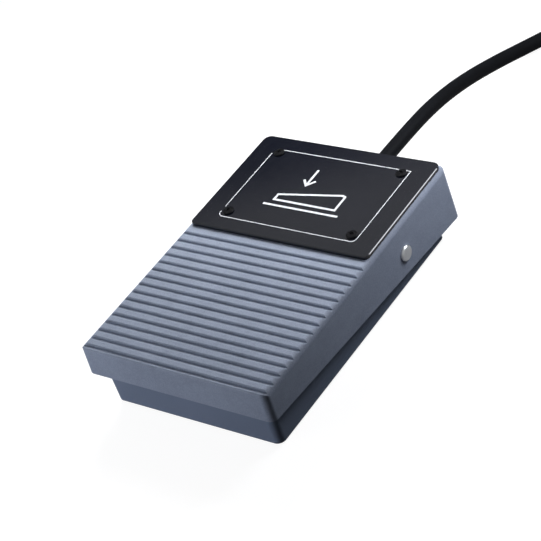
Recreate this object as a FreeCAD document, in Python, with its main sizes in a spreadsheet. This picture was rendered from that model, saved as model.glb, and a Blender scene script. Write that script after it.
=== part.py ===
import FreeCAD, Part
import math
import os

import Sketcher

# A foot pedal switch with a USB cable. The treadle turns on a cross pin near its rear, over a base tray.
# The origin is on the floor, below the middle of the treadle. +Y runs to the rear, where the cable leaves.

os.makedirs("parts", exist_ok=True)
doc = FreeCAD.newDocument("FootPedal")
sheet = doc.addObject("Spreadsheet::Sheet", "Sheet")

# Driving sizes in millimetres and degrees
SIZES = {
    # treadle
    "pedal_length": 100.0,
    "pedal_top_front": 23.2,
    "pedal_top_rise": 1.5,
    "pedal_draft": 1.8,
    "pedal_wall": 2.0,
    "pedal_roof": 2.5,
    "pedal_corner_radius": 2.2,
    "pedal_side_radius": 1.7,
    "pedal_end_radius": 0.7,
    "skirt_front_height": 13.45,
    "skirt_rear_height": 6.0,
    "heel_radius": 2.0,
    "rib_pitch": 3.38,
    "rib_count": 16.0,
    "first_groove_setback": 1.35,
    "groove_width": 1.3,
    "groove_depth": 0.65,
    # name plate
    "plate_length": 43.9,
    "plate_side_inset": 0.95,
    "plate_thickness": 1.1,
    "plate_rear_inset": 0.3,
    "plate_rear_radius": 2.6,
    "plate_front_radius": 1.6,
    "plate_edge_chamfer": 0.2,
    "plate_screw_spacing_x": 44.8,
    "plate_screw_spacing_y": 28.8,
    "plate_screw_front": 7.7,
    "plate_screw_shank": 1.8,
    "plate_screw_length": 3.8,
    "plate_screw_head": 3.4,
    "plate_screw_head_height": 0.7,
    # hinge
    "pin_diameter": 5.0,
    "pin_end_proud": 0.9,
    "pin_end_round": 0.8,
    "pin_setback": 28.7,
    "pin_height": 14.6,
    "press_angle": 4.0,
    "running_clearance": 0.05,
    "bush_outer": 7.0,
    "bush_flange": 10.0,
    "bush_flange_thickness": 0.8,
    "clip_outer": 9.0,
    "clip_thickness": 0.8,
    "clip_groove_depth": 0.5,
    "clip_opening": 3.0,
    # base tray
    "base_width": 59.7,
    "base_side_clearance": 1.15,
    "base_front_setback": 2.7,
    "base_rear_setback": 4.5,
    "base_wall": 2.0,
    "base_floor": 2.0,
    "base_draft": 0.5,
    "base_corner_radius": 2.4,
    "base_front_wall_top": 15.2,
    "base_rear_wall_top": 20.6,
    "mat_thickness": 1.0,
    "mat_inset": 2.0,
    "bottom_plate_thickness": 1.2,
    "bottom_plate_inset": 1.6,
    "bottom_plate_gap": 0.2,
    "bottom_screw_inset_x": 8.0,
    "bottom_screw_inset_y": 9.0,
    "bottom_screw_shank": 2.6,
    "bottom_screw_head": 4.6,
    "bottom_screw_length": 6.0,
    "mat_hole": 5.6,
    "boss_outer": 6.0,
    "boss_height": 4.5,
    # stops
    "stop_post": 6.0,
    "stop_spacing": 40.0,
    "stop_setback": 12.0,
    "stop_pad_thickness": 1.5,
    "stop_clearance": 0.12,
    "up_stop_spacing": 44.0,
    "up_stop_length": 8.0,
    "up_stop_gap": 0.12,
    # return spring
    "spring_board_gap": 7.75,
    "spring_outer": 10.5,
    "spring_wire": 1.0,
    "spring_turns": 5.0,
    "spring_closed_turn_rise": 1.45,
    "spigot_height": 3.0,
    "spigot_clearance": 0.5,
    # micro-switch
    "switch_length": 19.8,
    "switch_width": 6.4,
    "switch_height": 10.2,
    "switch_middle_setback": 50.0,
    "switch_wall": 1.0,
    "switch_hole": 2.4,
    "switch_hole_spacing": 9.5,
    "terminal_width": 1.2,
    "terminal_thickness": 0.6,
    "terminal_tail": 1.2,
    "lever_thickness": 0.4,
    "lever_width": 3.0,
    "lever_pivot_offset": 8.5,
    "lever_pivot_rise": 0.55,
    "lever_barrel": 1.0,
    "ear_thickness": 0.6,
    "lever_front_reach": 17.0,
    "lever_rest_gap": 0.06,
    "boss_offset": 3.0,
    "nose_radius": 1.2,
    "nose_width": 3.4,
    "plunger_offset": 4.5,
    "plunger_length": 1.6,
    "plunger_width": 3.0,
    "plunger_clearance": 0.15,
    "blade_thickness": 0.25,
    # circuit board
    "board_width": 42.0,
    "board_length": 35.0,
    "board_thickness": 1.6,
    "board_pin_gap": 1.3,
    "standoff_height": 1.6,
    "standoff_outer": 5.0,
    "board_screw_inset": 3.2,
    "board_screw_shank": 2.0,
    "board_screw_head": 3.8,
    "board_screw_length": 4.4,
    "chip_length": 10.0,
    "chip_width": 6.0,
    "chip_height": 1.7,
    "chip_leads": 8.0,
    "chip_lead_pitch": 1.27,
    "crystal_length": 10.2,
    "crystal_width": 3.6,
    "crystal_height": 3.4,
    "capacitor_diameter": 5.0,
    "capacitor_height": 6.0,
    "resistor_length": 2.0,
    "resistor_width": 1.25,
    "resistor_height": 0.6,
    "resistor_count": 5.0,
    "resistor_pitch": 3.0,
    "part_spread": 12.5,
    "connector_width": 11.0,
    "connector_depth": 5.0,
    "connector_height": 5.4,
    "connector_wall": 0.8,
    # cable
    "cable_diameter": 4.8,
    "cable_height": 11.45,
    "gland_neck": 7.6,
    "gland_flange": 11.0,
    "gland_flange_thickness": 1.5,
    "gland_body": 8.6,
    "gland_length": 11.0,
    "gland_tip": 6.2,
    "gland_rib_pitch": 2.6,
    "gland_rib_depth": 0.7,
    "clamp_width": 8.0,
    "clamp_thickness": 1.6,
    "clamp_setback": 11.0,
    "clamp_screw_spacing": 11.0,
    "clamp_screw_shank": 2.2,
    "clamp_screw_head": 4.2,
    "clamp_screw_length": 6.0,
    "inner_wire": 1.0,
    "wire_pitch": 2.0,
    # coil of spare cable, its tie, and the plug
    "coil_x": 4.0,
    "coil_y": 174.0,
    "coil_outer": 40.0,
    "coil_turn_pitch": 5.3,
    "coil_layer_turns": 4.3333333333,
    "coil_layer_rise": 5.3,
    "tie_thickness": 0.6,
    "tie_width": 5.0,
    "tie_gap": 0.15,
    "plug_x": 31.17,
    "plug_y": 176.75,
    "plug_heading": 116.8,
    "plug_neck_length": 7.0,
    "plug_neck": 6.6,
    "overmould_length": 20.0,
    "overmould_width": 15.6,
    "overmould_height": 8.0,
    "overmould_corner": 2.0,
    "shell_length": 12.0,
    "shell_width": 12.0,
    "shell_height": 4.5,
    "shell_wall": 0.3,
    "tongue_thickness": 1.8,
    "shell_window": 2.3,
    "contact_width": 1.0,
    "contact_thickness": 0.25,
    "contact_pitch": 2.2,
    # small fits
    "seat_gap": 0.05,
    "screw_hole_gap": 0.15,
    "relief_gap": 0.6,
}

for row, (name, number) in enumerate(SIZES.items(), 1):
    sheet.set(f"A{row}", name.replace("_", " "))
    sheet.set(f"B{row}", str(number))
    sheet.setAlias(f"B{row}", name)
doc.recompute()


class Size:
    """A length or angle worked out from the sheet: its number, and the expression that gives it."""

    def __init__(self, number, text=None):
        self.number = float(number)
        self.text = repr(float(number)) if text is None else text

    def joined(self, other, sign, number):
        return Size(number, f"({self.text} {sign} {other.text})")

    def __add__(self, other):
        other = size(other)
        return self.joined(other, "+", self.number + other.number)

    def __sub__(self, other):
        other = size(other)
        return self.joined(other, "-", self.number - other.number)

    def __mul__(self, other):
        other = size(other)
        return self.joined(other, "*", self.number * other.number)

    def __truediv__(self, other):
        other = size(other)
        return self.joined(other, "/", self.number / other.number)

    def __radd__(self, other):
        return size(other) + self

    def __rsub__(self, other):
        return size(other) - self

    def __rmul__(self, other):
        return size(other) * self

    def __neg__(self):
        return size(0) - self


def size(value):
    return value if isinstance(value, Size) else Size(value)


def cell(name):
    return Size(sheet.get(name), f"Sheet.{name}")


def sine(angle):
    return Size(math.sin(math.radians(angle.number)), f"sin({angle.text})")


def cosine(angle):
    return Size(math.cos(math.radians(angle.number)), f"cos({angle.text})")


def slope_angle(rise, run):
    angle = math.degrees(math.atan(rise.number / run.number))
    return Size(angle, f"atan({rise.text} / {run.text})")


def bind(thing, prop, value):
    thing.setExpression(prop, size(value).text)


def place(thing, x, y, z, prefix="Placement.Base"):
    for axis, value in zip("xyz", (x, y, z)):
        bind(thing, f"{prefix}.{axis}", value)
    return thing


# Part primitives, each bound to the sheet

def block(name, x, y, z):
    """A box from three (low, high) pairs."""
    thing = doc.addObject("Part::Box", name)
    for prop, (low, high) in zip(("Length", "Width", "Height"), (x, y, z)):
        bind(thing, prop, size(high) - low)
    return place(thing, x[0], y[0], z[0])


TURNS = {
    "z": FreeCAD.Rotation(),
    "x": FreeCAD.Rotation(FreeCAD.Vector(0, 1, 0), 90),
    "y": FreeCAD.Rotation(FreeCAD.Vector(1, 0, 0), -90),
}


def rod(name, diameter, length, x, y, z, along="z"):
    """A cylinder whose first end's centre is at x, y, z."""
    thing = doc.addObject("Part::Cylinder", name)
    thing.Placement.Rotation = TURNS[along]
    bind(thing, "Radius", size(diameter) / 2)
    bind(thing, "Height", length)
    return place(thing, x, y, z)


def cone(name, first_diameter, last_diameter, length, x, y, z, along="z"):
    thing = doc.addObject("Part::Cone", name)
    thing.Placement.Rotation = TURNS[along]
    bind(thing, "Radius1", size(first_diameter) / 2)
    bind(thing, "Radius2", size(last_diameter) / 2)
    bind(thing, "Height", length)
    return place(thing, x, y, z)


def cut(name, base, *tools):
    thing = doc.addObject("Part::Cut", name)
    thing.Base = base
    thing.Tool = tools[0] if len(tools) == 1 else joined(name + "_tools", *tools)
    return thing


def joined(name, *shapes):
    thing = doc.addObject("Part::MultiFuse", name)
    thing.Shapes = list(shapes)
    thing.Refine = True
    return thing


def grouped(name, *shapes):
    """Separate solids under one name."""
    thing = doc.addObject("Part::Compound", name)
    thing.Links = list(shapes)
    return thing


def mirrored(name, source, normal):
    thing = doc.addObject("Part::Mirroring", name)
    thing.Source = source
    thing.Normal = FreeCAD.Vector(*normal)
    return thing


# PartDesign bodies, with sketches whose points are bound to the sheet

def body(name):
    return doc.addObject("PartDesign::Body", name)


def sketch_on(owner, name, role, offset=0, x=0, y=0, angle=None):
    """A sketch on an origin plane: offset along the plane's normal, shifted by x, y and turned in it."""
    drawing = owner.newObject("Sketcher::SketchObject", name)
    planes = {f.Role: f for f in owner.Origin.OriginFeatures}
    drawing.AttachmentSupport = [(planes[role], "")]
    drawing.MapMode = "FlatFace"
    if angle is not None:
        drawing.AttachmentOffset = FreeCAD.Placement(FreeCAD.Vector(), FreeCAD.Rotation(1.0, 0, 0))
        bind(drawing, "AttachmentOffset.Rotation.Angle", angle)
    place(drawing, x, y, offset, "AttachmentOffset.Base")
    return drawing


POINTS = ("edge", "start", "end", "centre")


def pin_point(drawing, geometry, which, x, y):
    for kind, value in (("DistanceX", size(x)), ("DistanceY", size(y))):
        rule = Sketcher.Constraint(kind, -1, 1, geometry, POINTS.index(which), value.number)
        bind(drawing, f"Constraints[{drawing.addConstraint(rule)}]", value)


def outline(drawing, points):
    """A closed polygon through points of sizes."""
    points = [(size(x), size(y)) for x, y in points]
    first = drawing.GeometryCount
    corners = [FreeCAD.Vector(x.number, y.number, 0) for x, y in points]
    for here, there in zip(corners, corners[1:] + corners[:1]):
        drawing.addGeometry(Part.LineSegment(here, there))
    for k, (x, y) in enumerate(points):
        after = first + (k + 1) % len(points)
        drawing.addConstraint(Sketcher.Constraint("Coincident", first + k, 2, after, 1))
        pin_point(drawing, first + k, "start", x, y)
    return drawing


def rectangle(drawing, x, y):
    low, high = zip(x, y)
    return outline(drawing, [low, (high[0], low[1]), high, (low[0], high[1])])


def circle(drawing, x, y, diameter):
    x, y, diameter = size(x), size(y), size(diameter)
    centre = FreeCAD.Vector(x.number, y.number, 0)
    ring = drawing.addGeometry(Part.Circle(centre, FreeCAD.Vector(0, 0, 1), diameter.number / 2))
    pin_point(drawing, ring, "centre", x, y)
    rule = Sketcher.Constraint("Diameter", ring, diameter.number)
    bind(drawing, f"Constraints[{drawing.addConstraint(rule)}]", diameter)
    return drawing


def pad(owner, name, drawing, length, reverse=False, both=False):
    feature = owner.newObject("PartDesign::Pad", name)
    feature.Profile = drawing
    bind(feature, "Length", length)
    feature.Reversed = reverse
    feature.SideType = "Symmetric" if both else "One side"
    return feature


def drafted(owner, name, angle, neutral, reverse=False):
    """Leans the upright faces of the body's last feature out from the level face at height neutral."""
    doc.recompute()
    last = owner.Tip
    sides = []
    for k, face in enumerate(last.Shape.Faces, 1):
        if abs(face.normalAt(0, 0).z) < 0.01:
            sides.append(f"Face{k}")
        elif abs(face.CenterOfMass.z - neutral.number) < 0.01:
            level = f"Face{k}"
    feature = owner.newObject("PartDesign::Draft", name)
    feature.Base = (last, sides)
    feature.NeutralPlane = (last, [level])
    feature.Reversed = reverse
    bind(feature, "Angle", angle)
    return feature


def pocket(owner, name, drawing, length=None, reverse=False, both=False):
    """Cuts the sketch away, right through when no length is given. It must take some of the solid."""
    before = owner.Shape.Volume if owner.Shape.isNull() is False else 0
    feature = owner.newObject("PartDesign::Pocket", name)
    feature.Profile = drawing
    feature.Reversed = reverse
    feature.SideType = "Symmetric" if both else "One side"
    if length is None:
        feature.Type = "ThroughAll"
    else:
        feature.Type = "Length"
        bind(feature, "Length", length)
    doc.recompute()
    if not feature.Shape.Volume < before:
        raise RuntimeError(f"{name} cuts nothing")
    return feature


def rounded(owner, name, radius, wanted):
    """Fillets the edges of the body's last feature for which wanted(edge) is true."""
    doc.recompute()
    last = owner.Tip
    feature = owner.newObject("PartDesign::Fillet", name)
    feature.Base = (last, [f"Edge{k + 1}" for k, edge in enumerate(last.Shape.Edges) if wanted(edge)])
    bind(feature, "Radius", radius)
    return feature


def bevelled(owner, name, length, wanted):
    doc.recompute()
    last = owner.Tip
    feature = owner.newObject("PartDesign::Chamfer", name)
    feature.Base = (last, [f"Edge{k + 1}" for k, edge in enumerate(last.Shape.Edges) if wanted(edge)])
    bind(feature, "Size", length)
    return feature


def upright(edge):
    """An edge that stands up, apart from its draft."""
    if len(edge.Vertexes) < 2:
        return False
    way = edge.Vertexes[-1].Point - edge.Vertexes[0].Point
    return abs(way.z) > 0.9 * edge.Length


# Planes and places that several pieces share

half_length = cell("pedal_length") / 2
base_half = cell("base_width") / 2
half_width = base_half + cell("base_side_clearance") + cell("pedal_wall")
tread_slope = slope_angle(cell("pedal_top_rise"), cell("pedal_length"))
tread_high = cell("pedal_top_front") + cell("pedal_top_rise")
pin_y = half_length - cell("pin_setback")
pin_z = cell("pin_height")
press = cell("press_angle")
gap = cell("seat_gap")
through = half_width / 5
base_bottom = cell("mat_thickness")
tray_under = base_bottom + cell("bottom_plate_thickness")
tray_floor = tray_under + cell("base_floor")
base_inside = base_half - cell("base_wall")
base_front = cell("base_front_setback") - half_length
base_rear = half_length - cell("base_rear_setback")
draft_rise = Size(math.tan(math.radians(SIZES["pedal_draft"])), "tan(Sheet.pedal_draft)")
base_draft_rise = Size(math.tan(math.radians(SIZES["base_draft"])), "tan(Sheet.base_draft)")


def line_at(y, front, rise):
    """The height at y of a line that starts at front over the treadle's front edge and gains rise."""
    return front + rise * (y + half_length) / cell("pedal_length")


def top_at(y):
    return line_at(y, cell("pedal_top_front"), cell("pedal_top_rise"))


def ceiling_at(y):
    return top_at(y) - cell("pedal_roof")


def pressed(y, z):
    """Where a point of the treadle at y and height z is when it is pressed right down."""
    return pin_z + (z - pin_z) * cosine(press) - (pin_y - y) * sine(press)


def skirt_at(y):
    return line_at(y, cell("skirt_front_height"), cell("skirt_rear_height") - cell("skirt_front_height"))


def tilted(thing, x, y, height=0):
    """Stands a piece square on the tread at y, height above it."""
    thing.Placement.Rotation = FreeCAD.Rotation(FreeCAD.Vector(1, 0, 0), 1)
    bind(thing, "Placement.Rotation.Angle", tread_slope)
    y = size(y)
    return place(thing, x, y - height * sine(tread_slope), top_at(y) + height * cosine(tread_slope))


def strip_over(drawing, low_line, high):
    """Outline, past both ends of the treadle, between a slanted line and a level one."""
    ends = (-half_length - through, half_length + through)
    corners = [(ends[0], low_line(ends[0])), (ends[1], low_line(ends[1])), (ends[1], high), (ends[0], high)]
    return outline(drawing, corners)


# Treadle: a moulded lid with a ribbed tread and drafted skirts

def treadle_block(name, inset, radius, top_line):
    """The drafted block of the treadle, or of its hollow, cut off by the slanted top."""
    owner = body(name)
    plan = sketch_on(owner, name + "_plan", "XY_Plane", tread_high)
    side = half_width - inset
    end = half_length - inset
    rectangle(plan, (-side, side), (-end, end))
    depth = tread_high - cell("skirt_rear_height") + through
    pad(owner, name + "_walls", plan, depth, reverse=True)
    drafted(owner, name + "_draft", cell("pedal_draft"), tread_high)
    rounded(owner, name + "_corners", radius, upright)
    above = strip_over(sketch_on(owner, name + "_above", "YZ_Plane"), top_line, tread_high + through)
    pocket(owner, name + "_slant", above, both=True)
    return owner


def on_tread(edge):
    return all(abs(v.Point.z - top_at(v.Point.y).number) < 0.01 for v in edge.Vertexes)


treadle = treadle_block("treadle", size(0), cell("pedal_corner_radius"), top_at)
below = strip_over(sketch_on(treadle, "treadle_below", "YZ_Plane"), skirt_at, size(0) - through)
pocket(treadle, "treadle_skirt_line", below, both=True)
rounded(treadle, "treadle_top_edge", cell("pedal_end_radius"), on_tread)
doc.recompute()
groove_y = cell("first_groove_setback") - half_length
groove_sketch = sketch_on(treadle, "groove_profile", "YZ_Plane", 0, groove_y, top_at(groove_y), tread_slope)
mouth = cell("groove_width") * 0.7
waist = cell("groove_width") * 0.45
root = cell("groove_width") * 0.25
shoulder = cell("groove_depth") * 0.3
outline(groove_sketch, [
    (-mouth, cell("groove_depth")), (-mouth, size(0)), (-waist, -shoulder), (-root, -cell("groove_depth")),
    (root, -cell("groove_depth")), (waist, -shoulder), (mouth, size(0)), (mouth, cell("groove_depth")),
])
groove = pocket(treadle, "first_groove", groove_sketch, both=True)
ribs = treadle.newObject("PartDesign::LinearPattern", "ribs")
ribs.Originals = [groove]
ribs.Direction = (groove_sketch, ["H_Axis"])
bind(ribs, "Length", cell("rib_pitch") * (cell("rib_count") - 1))
bind(ribs, "Occurrences", cell("rib_count"))
treadle.Tip = ribs

hollow = treadle_block("treadle_hollow", cell("pedal_wall"), cell("pedal_corner_radius") / 3, ceiling_at)

# The rounding along the two long edges of the tread, as a tool lying square on the tread
side_radius = cell("pedal_side_radius")
round_x = half_width - side_radius * (1 - draft_rise)
tool_run = (-through, cell("pedal_length") + through)
side_bar = block("side_bar", (round_x, half_width + through), tool_run, (-side_radius, through))
side_core = rod("side_core", side_radius * 2, tool_run[1] - tool_run[0], round_x, tool_run[0],
                -side_radius, "y")
right_rounding = tilted(cut("right_rounding", side_bar, side_core), 0, -half_length)
left_rounding = mirrored("left_rounding", right_rounding, (1, 0, 0))

# The rounding of the skirt's lower rear corner
heel = cell("heel_radius")
heel_y = half_length + draft_rise * (tread_high - skirt_at(half_length) - heel) - heel
heel_z = skirt_at(heel_y) + heel
heel_reach = half_width + through
heel_bar = block("heel_bar", (-heel_reach, heel_reach), (heel_y, heel_y + heel + through),
                 (heel_z - heel - through, heel_z))
heel_core = rod("heel_core", heel * 2, (heel_reach + through) * 2,
                -heel_reach - through, heel_y, heel_z, "x")
heel_rounding = cut("heel_rounding", heel_bar, heel_core)

pin_out = half_width + draft_rise * (tread_high - pin_z)
pin_hole = rod("pin_hole", cell("pin_diameter"), pin_out * 2 + through, -pin_out - through / 2, pin_y,
               pin_z, "x")

cable_z = cell("cable_height")
notch = cell("gland_flange")
notch_slot = block("notch_slot", (-notch / 2, notch / 2), (half_length - through, half_length + through),
                   (size(0), cable_z))
notch_top = rod("notch_top", notch, through * 2, 0, half_length - through, cable_z, "y")

# The nose under the treadle that pushes the switch lever
lever_y = half_length - cell("switch_middle_setback") + cell("lever_pivot_offset")
switch_bottom = tray_floor + cell("standoff_height") + cell("board_thickness")
switch_top = switch_bottom + cell("switch_height")
lever_z = switch_top + cell("lever_pivot_rise")
lever_top = lever_z + cell("lever_thickness") / 2
nose_y = half_length - cell("switch_middle_setback") - cell("boss_offset")
nose_drop = (pin_y - nose_y) * sine(press)
nose_bottom = lever_top + nose_drop + cell("lever_rest_gap")
nose_tip = rod("nose_tip", cell("nose_radius") * 2, cell("nose_width"), -cell("nose_width") / 2, nose_y,
               nose_bottom + cell("nose_radius"), "x")
nose_stem = block("nose_stem", (-cell("nose_width") / 2, cell("nose_width") / 2),
                  (nose_y - cell("nose_radius"), nose_y + cell("nose_radius")),
                  (nose_bottom + cell("nose_radius"), ceiling_at(nose_y) + cell("pedal_roof") / 2))

board_rear = pin_y - cell("pin_diameter") / 2 - cell("board_pin_gap")
board_y = (board_rear - cell("board_length"), board_rear)
spring_y = board_y[0] - cell("spring_board_gap") - cell("spring_outer") / 2
spigot = cell("spring_outer") - cell("spring_wire") * 2 - cell("spigot_clearance") * 2
upper_spigot = rod("upper_spigot", spigot, cell("spigot_height") + cell("pedal_roof") / 2, 0, spring_y,
                   ceiling_at(spring_y) - cell("spigot_height"))

# Name plate with its four screws, square on the tread
plate_front = half_length - cell("plate_rear_inset") - cell("plate_length") * cosine(tread_slope)
screw_places = [
    (side * cell("plate_screw_spacing_x") / 2,
     plate_front + cell("plate_screw_front") + far * cell("plate_screw_spacing_y"))
    for side in (-1, 1) for far in (0, 1)
]
pilot_depth = cell("plate_screw_length") - cell("plate_thickness") + cell("relief_gap") / 2
pilots = []
for k, (x, y) in enumerate(screw_places, 1):
    pilot = doc.addObject("Part::Cylinder", f"plate_pilot_{k}")
    bind(pilot, "Radius", cell("plate_screw_shank") / 2)
    bind(pilot, "Height", pilot_depth * 2)
    pilots.append(tilted(pilot, x, y, -pilot_depth))

moulding = joined("moulding", cut("shell", treadle, hollow), nose_tip, nose_stem, upper_spigot)
pedal = cut("pedal", moulding, right_rounding, left_rounding, heel_rounding,
            pin_hole, notch_slot, notch_top, *pilots)

name_plate = body("name_plate")
plate_half = half_width - cell("plate_side_inset")
plate_plan = sketch_on(name_plate, "plate_plan", "XY_Plane")
rectangle(plate_plan, (-plate_half, plate_half), (size(0), cell("plate_length")))
pad(name_plate, "plate_sheet", plate_plan, cell("plate_thickness"))
middle = SIZES["plate_length"] / 2
rounded(name_plate, "plate_rear_corners", cell("plate_rear_radius"),
        lambda e: upright(e) and e.CenterOfMass.y > middle)
rounded(name_plate, "plate_front_corners", cell("plate_front_radius"),
        lambda e: upright(e) and e.CenterOfMass.y < middle)
bevelled(name_plate, "plate_edge", cell("plate_edge_chamfer"),
         lambda e: all(abs(v.Point.z - SIZES["plate_thickness"]) < 1e-6 for v in e.Vertexes))
doc.recompute()
hole_sketch = sketch_on(name_plate, "plate_holes", "XY_Plane", cell("plate_thickness"))
for side in (-1, 1):
    for far in (0, 1):
        circle(hole_sketch, side * cell("plate_screw_spacing_x") / 2,
               cell("plate_screw_front") + far * cell("plate_screw_spacing_y"),
               cell("plate_screw_shank") + cell("screw_hole_gap") * 2)
pocket(name_plate, "plate_holes_cut", hole_sketch)
tilted(name_plate, 0, plate_front)


def plate_screw(number, x, y):
    """A low round-headed screw with a cross recess, square on the name plate."""
    over = cell("plate_thickness")
    head = doc.addObject("Part::Cylinder", f"plate_head_{number}")
    bind(head, "Radius", cell("plate_screw_head") / 2)
    bind(head, "Height", cell("plate_screw_head_height"))
    shank = doc.addObject("Part::Cylinder", f"plate_shank_{number}")
    bind(shank, "Radius", cell("plate_screw_shank") / 2 - gap)
    bind(shank, "Height", cell("plate_screw_length"))
    tilted(head, x, y, over)
    tilted(shank, x, y, over - cell("plate_screw_length"))
    bars = []
    for kind, (long_side, short_side) in (("a", (0.62, 0.16)), ("b", (0.16, 0.62))):
        bar = doc.addObject("Part::Box", f"plate_recess_{kind}_{number}")
        wide = cell("plate_screw_head") * long_side
        deep = cell("plate_screw_head") * short_side
        bind(bar, "Length", wide)
        bind(bar, "Width", deep)
        bind(bar, "Height", cell("plate_screw_head_height"))
        bars.append(tilted(bar, x - wide / 2, y - deep / 2, over + cell("plate_screw_head_height") * 0.45))
    return cut(f"plate_screw_{number}", joined(f"plate_screw_blank_{number}", head, shank), *bars)


plate_screws = grouped("plate_screws", *[plate_screw(k, x, y) for k, (x, y) in enumerate(screw_places, 1)])

# Base tray: drafted walls, with the floor raised over a recess for the steel plate
tray = body("tray")
tray_plan = sketch_on(tray, "tray_plan", "XY_Plane", base_bottom)
rectangle(tray_plan, (-base_half, base_half), (base_front, base_rear))
pad(tray, "tray_walls", tray_plan, cell("base_rear_wall_top") - base_bottom)
drafted(tray, "tray_draft", -cell("base_draft"), base_bottom)
rounded(tray, "tray_corners", cell("base_corner_radius"), upright)
tray_above = sketch_on(tray, "tray_above", "YZ_Plane")
over_tray = cell("base_rear_wall_top") + through
outline(tray_above, [(base_front - through, cell("base_front_wall_top")), (base_front,
                                                                           cell("base_front_wall_top")),
                     (pin_y, cell("base_rear_wall_top")), (pin_y, over_tray),
                     (base_front - through, over_tray)])
pocket(tray, "tray_slant", tray_above, both=True)
tray_hollow = sketch_on(tray, "tray_hollow", "XY_Plane", over_tray)
inner_front = base_front + cell("base_wall")
inner_rear = base_rear - cell("base_wall")
rectangle(tray_hollow, (-base_inside, base_inside), (inner_front, inner_rear))
pocket(tray, "tray_hollowed", tray_hollow, over_tray - tray_floor)
recess = cell("bottom_plate_inset")
tray_recess = sketch_on(tray, "tray_recess", "XY_Plane", base_bottom)
rectangle(tray_recess, (recess - base_half, base_half - recess), (base_front + recess, base_rear - recess))
pocket(tray, "tray_recessed", tray_recess, cell("bottom_plate_thickness"), reverse=True)

# Posts that stand on the tray's floor
sunk = cell("base_floor") / 2
stop_y = cell("stop_setback") - half_length
stop_front = stop_y - cell("stop_post") / 2
stop_top = pressed(stop_front, ceiling_at(stop_front)) - cell("stop_clearance")
post_top = stop_top - cell("stop_pad_thickness")
stop_x = cell("stop_spacing") / 2
board_x = (-cell("board_width") / 2, cell("board_width") / 2)
board_z = tray_floor + cell("standoff_height")
board_top = board_z + cell("board_thickness")
inset = cell("board_screw_inset")
board_screw_places = [(x, y) for x in (board_x[0] + inset, board_x[1] - inset)
                      for y in (board_y[0] + inset, board_y[1] - inset)]
corner_x = base_half - cell("bottom_screw_inset_x")
corner_y = (base_front + cell("bottom_screw_inset_y"), base_rear - cell("bottom_screw_inset_y"))
corner_places = [(x, y) for x in (-corner_x, corner_x) for y in corner_y]
clamp_y = base_rear - cell("clamp_setback")
clamp_screw_x = cell("clamp_screw_spacing") / 2
cable = cell("cable_diameter")
saddle_top = cable_z - cell("relief_gap")
clamp_screw_places = [(x, clamp_y) for x in (-clamp_screw_x, clamp_screw_x)]


def post(name, diameter, top, x, y):
    return rod(name, diameter, top - tray_floor + sunk, x, y, tray_floor - sunk)


posts = [post(f"stop_post_{k}", cell("stop_post"), post_top, x, stop_y)
         for k, x in ((1, -stop_x), (2, stop_x))]
posts += [post(f"standoff_{k}", cell("standoff_outer"), board_z, x, y)
          for k, (x, y) in enumerate(board_screw_places, 1)]
posts += [post(f"corner_boss_{k}", cell("boss_outer"), tray_floor + cell("boss_height"), x, y)
          for k, (x, y) in enumerate(corner_places, 1)]
posts.append(post("lower_spigot", spigot, tray_floor + cell("spigot_height"), 0, spring_y))
saddle_half = clamp_screw_x + cell("clamp_screw_head") / 2 + gap
clamp_reach = (clamp_y - cell("clamp_width") / 2, clamp_y + cell("clamp_width") / 2)
saddle = cut("saddle", block("saddle_block", (-saddle_half, saddle_half), clamp_reach,
                             (tray_floor - sunk, saddle_top)),
             rod("saddle_groove", cable + gap * 2, cell("clamp_width") + through * 2, 0,
                 clamp_reach[0] - through, cable_z, "y"))
stop_x_up = cell("up_stop_spacing") / 2
tray_solid = joined("tray_solid", tray, saddle, *posts)


def pilot_up(name, diameter, depth, x, y, top):
    """A blind screw hole that opens upwards at height top."""
    return rod(name, diameter, depth + through, x, y, top - depth)


holes = [pilot_up(f"board_pilot_{k}", cell("board_screw_shank"),
                  cell("board_screw_length") - cell("board_thickness") + gap, x, y, board_z)
         for k, (x, y) in enumerate(board_screw_places, 1)]
clamp_pilot = cell("clamp_screw_length") - cell("clamp_thickness") - cell("relief_gap") * 2 + gap
holes += [pilot_up(f"clamp_pilot_{k}", cell("clamp_screw_shank"), clamp_pilot, x, y, saddle_top)
          for k, (x, y) in enumerate(clamp_screw_places, 1)]
corner_depth = cell("bottom_screw_length") - cell("bottom_plate_thickness") + gap
holes += [rod(f"corner_pilot_{k}", cell("bottom_screw_shank"), corner_depth + through, x, y,
              tray_under - through)
          for k, (x, y) in enumerate(corner_places, 1)]
wall_out = base_half + base_draft_rise * (pin_z - base_bottom)
holes.append(rod("bush_hole", cell("bush_outer") + gap * 2, (wall_out + through) * 2, -wall_out - through,
                 pin_y,
                 pin_z, "x"))
neck = cell("gland_neck")
holes.append(rod("neck_hole", neck, through * 2, 0, base_rear - through, cable_z, "y"))
holes.append(block("neck_slot", (-neck / 2, neck / 2), (base_rear - through, base_rear + through),
                   (cable_z, over_tray)))
base_housing = cut("base_housing", tray_solid, *holes)

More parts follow.
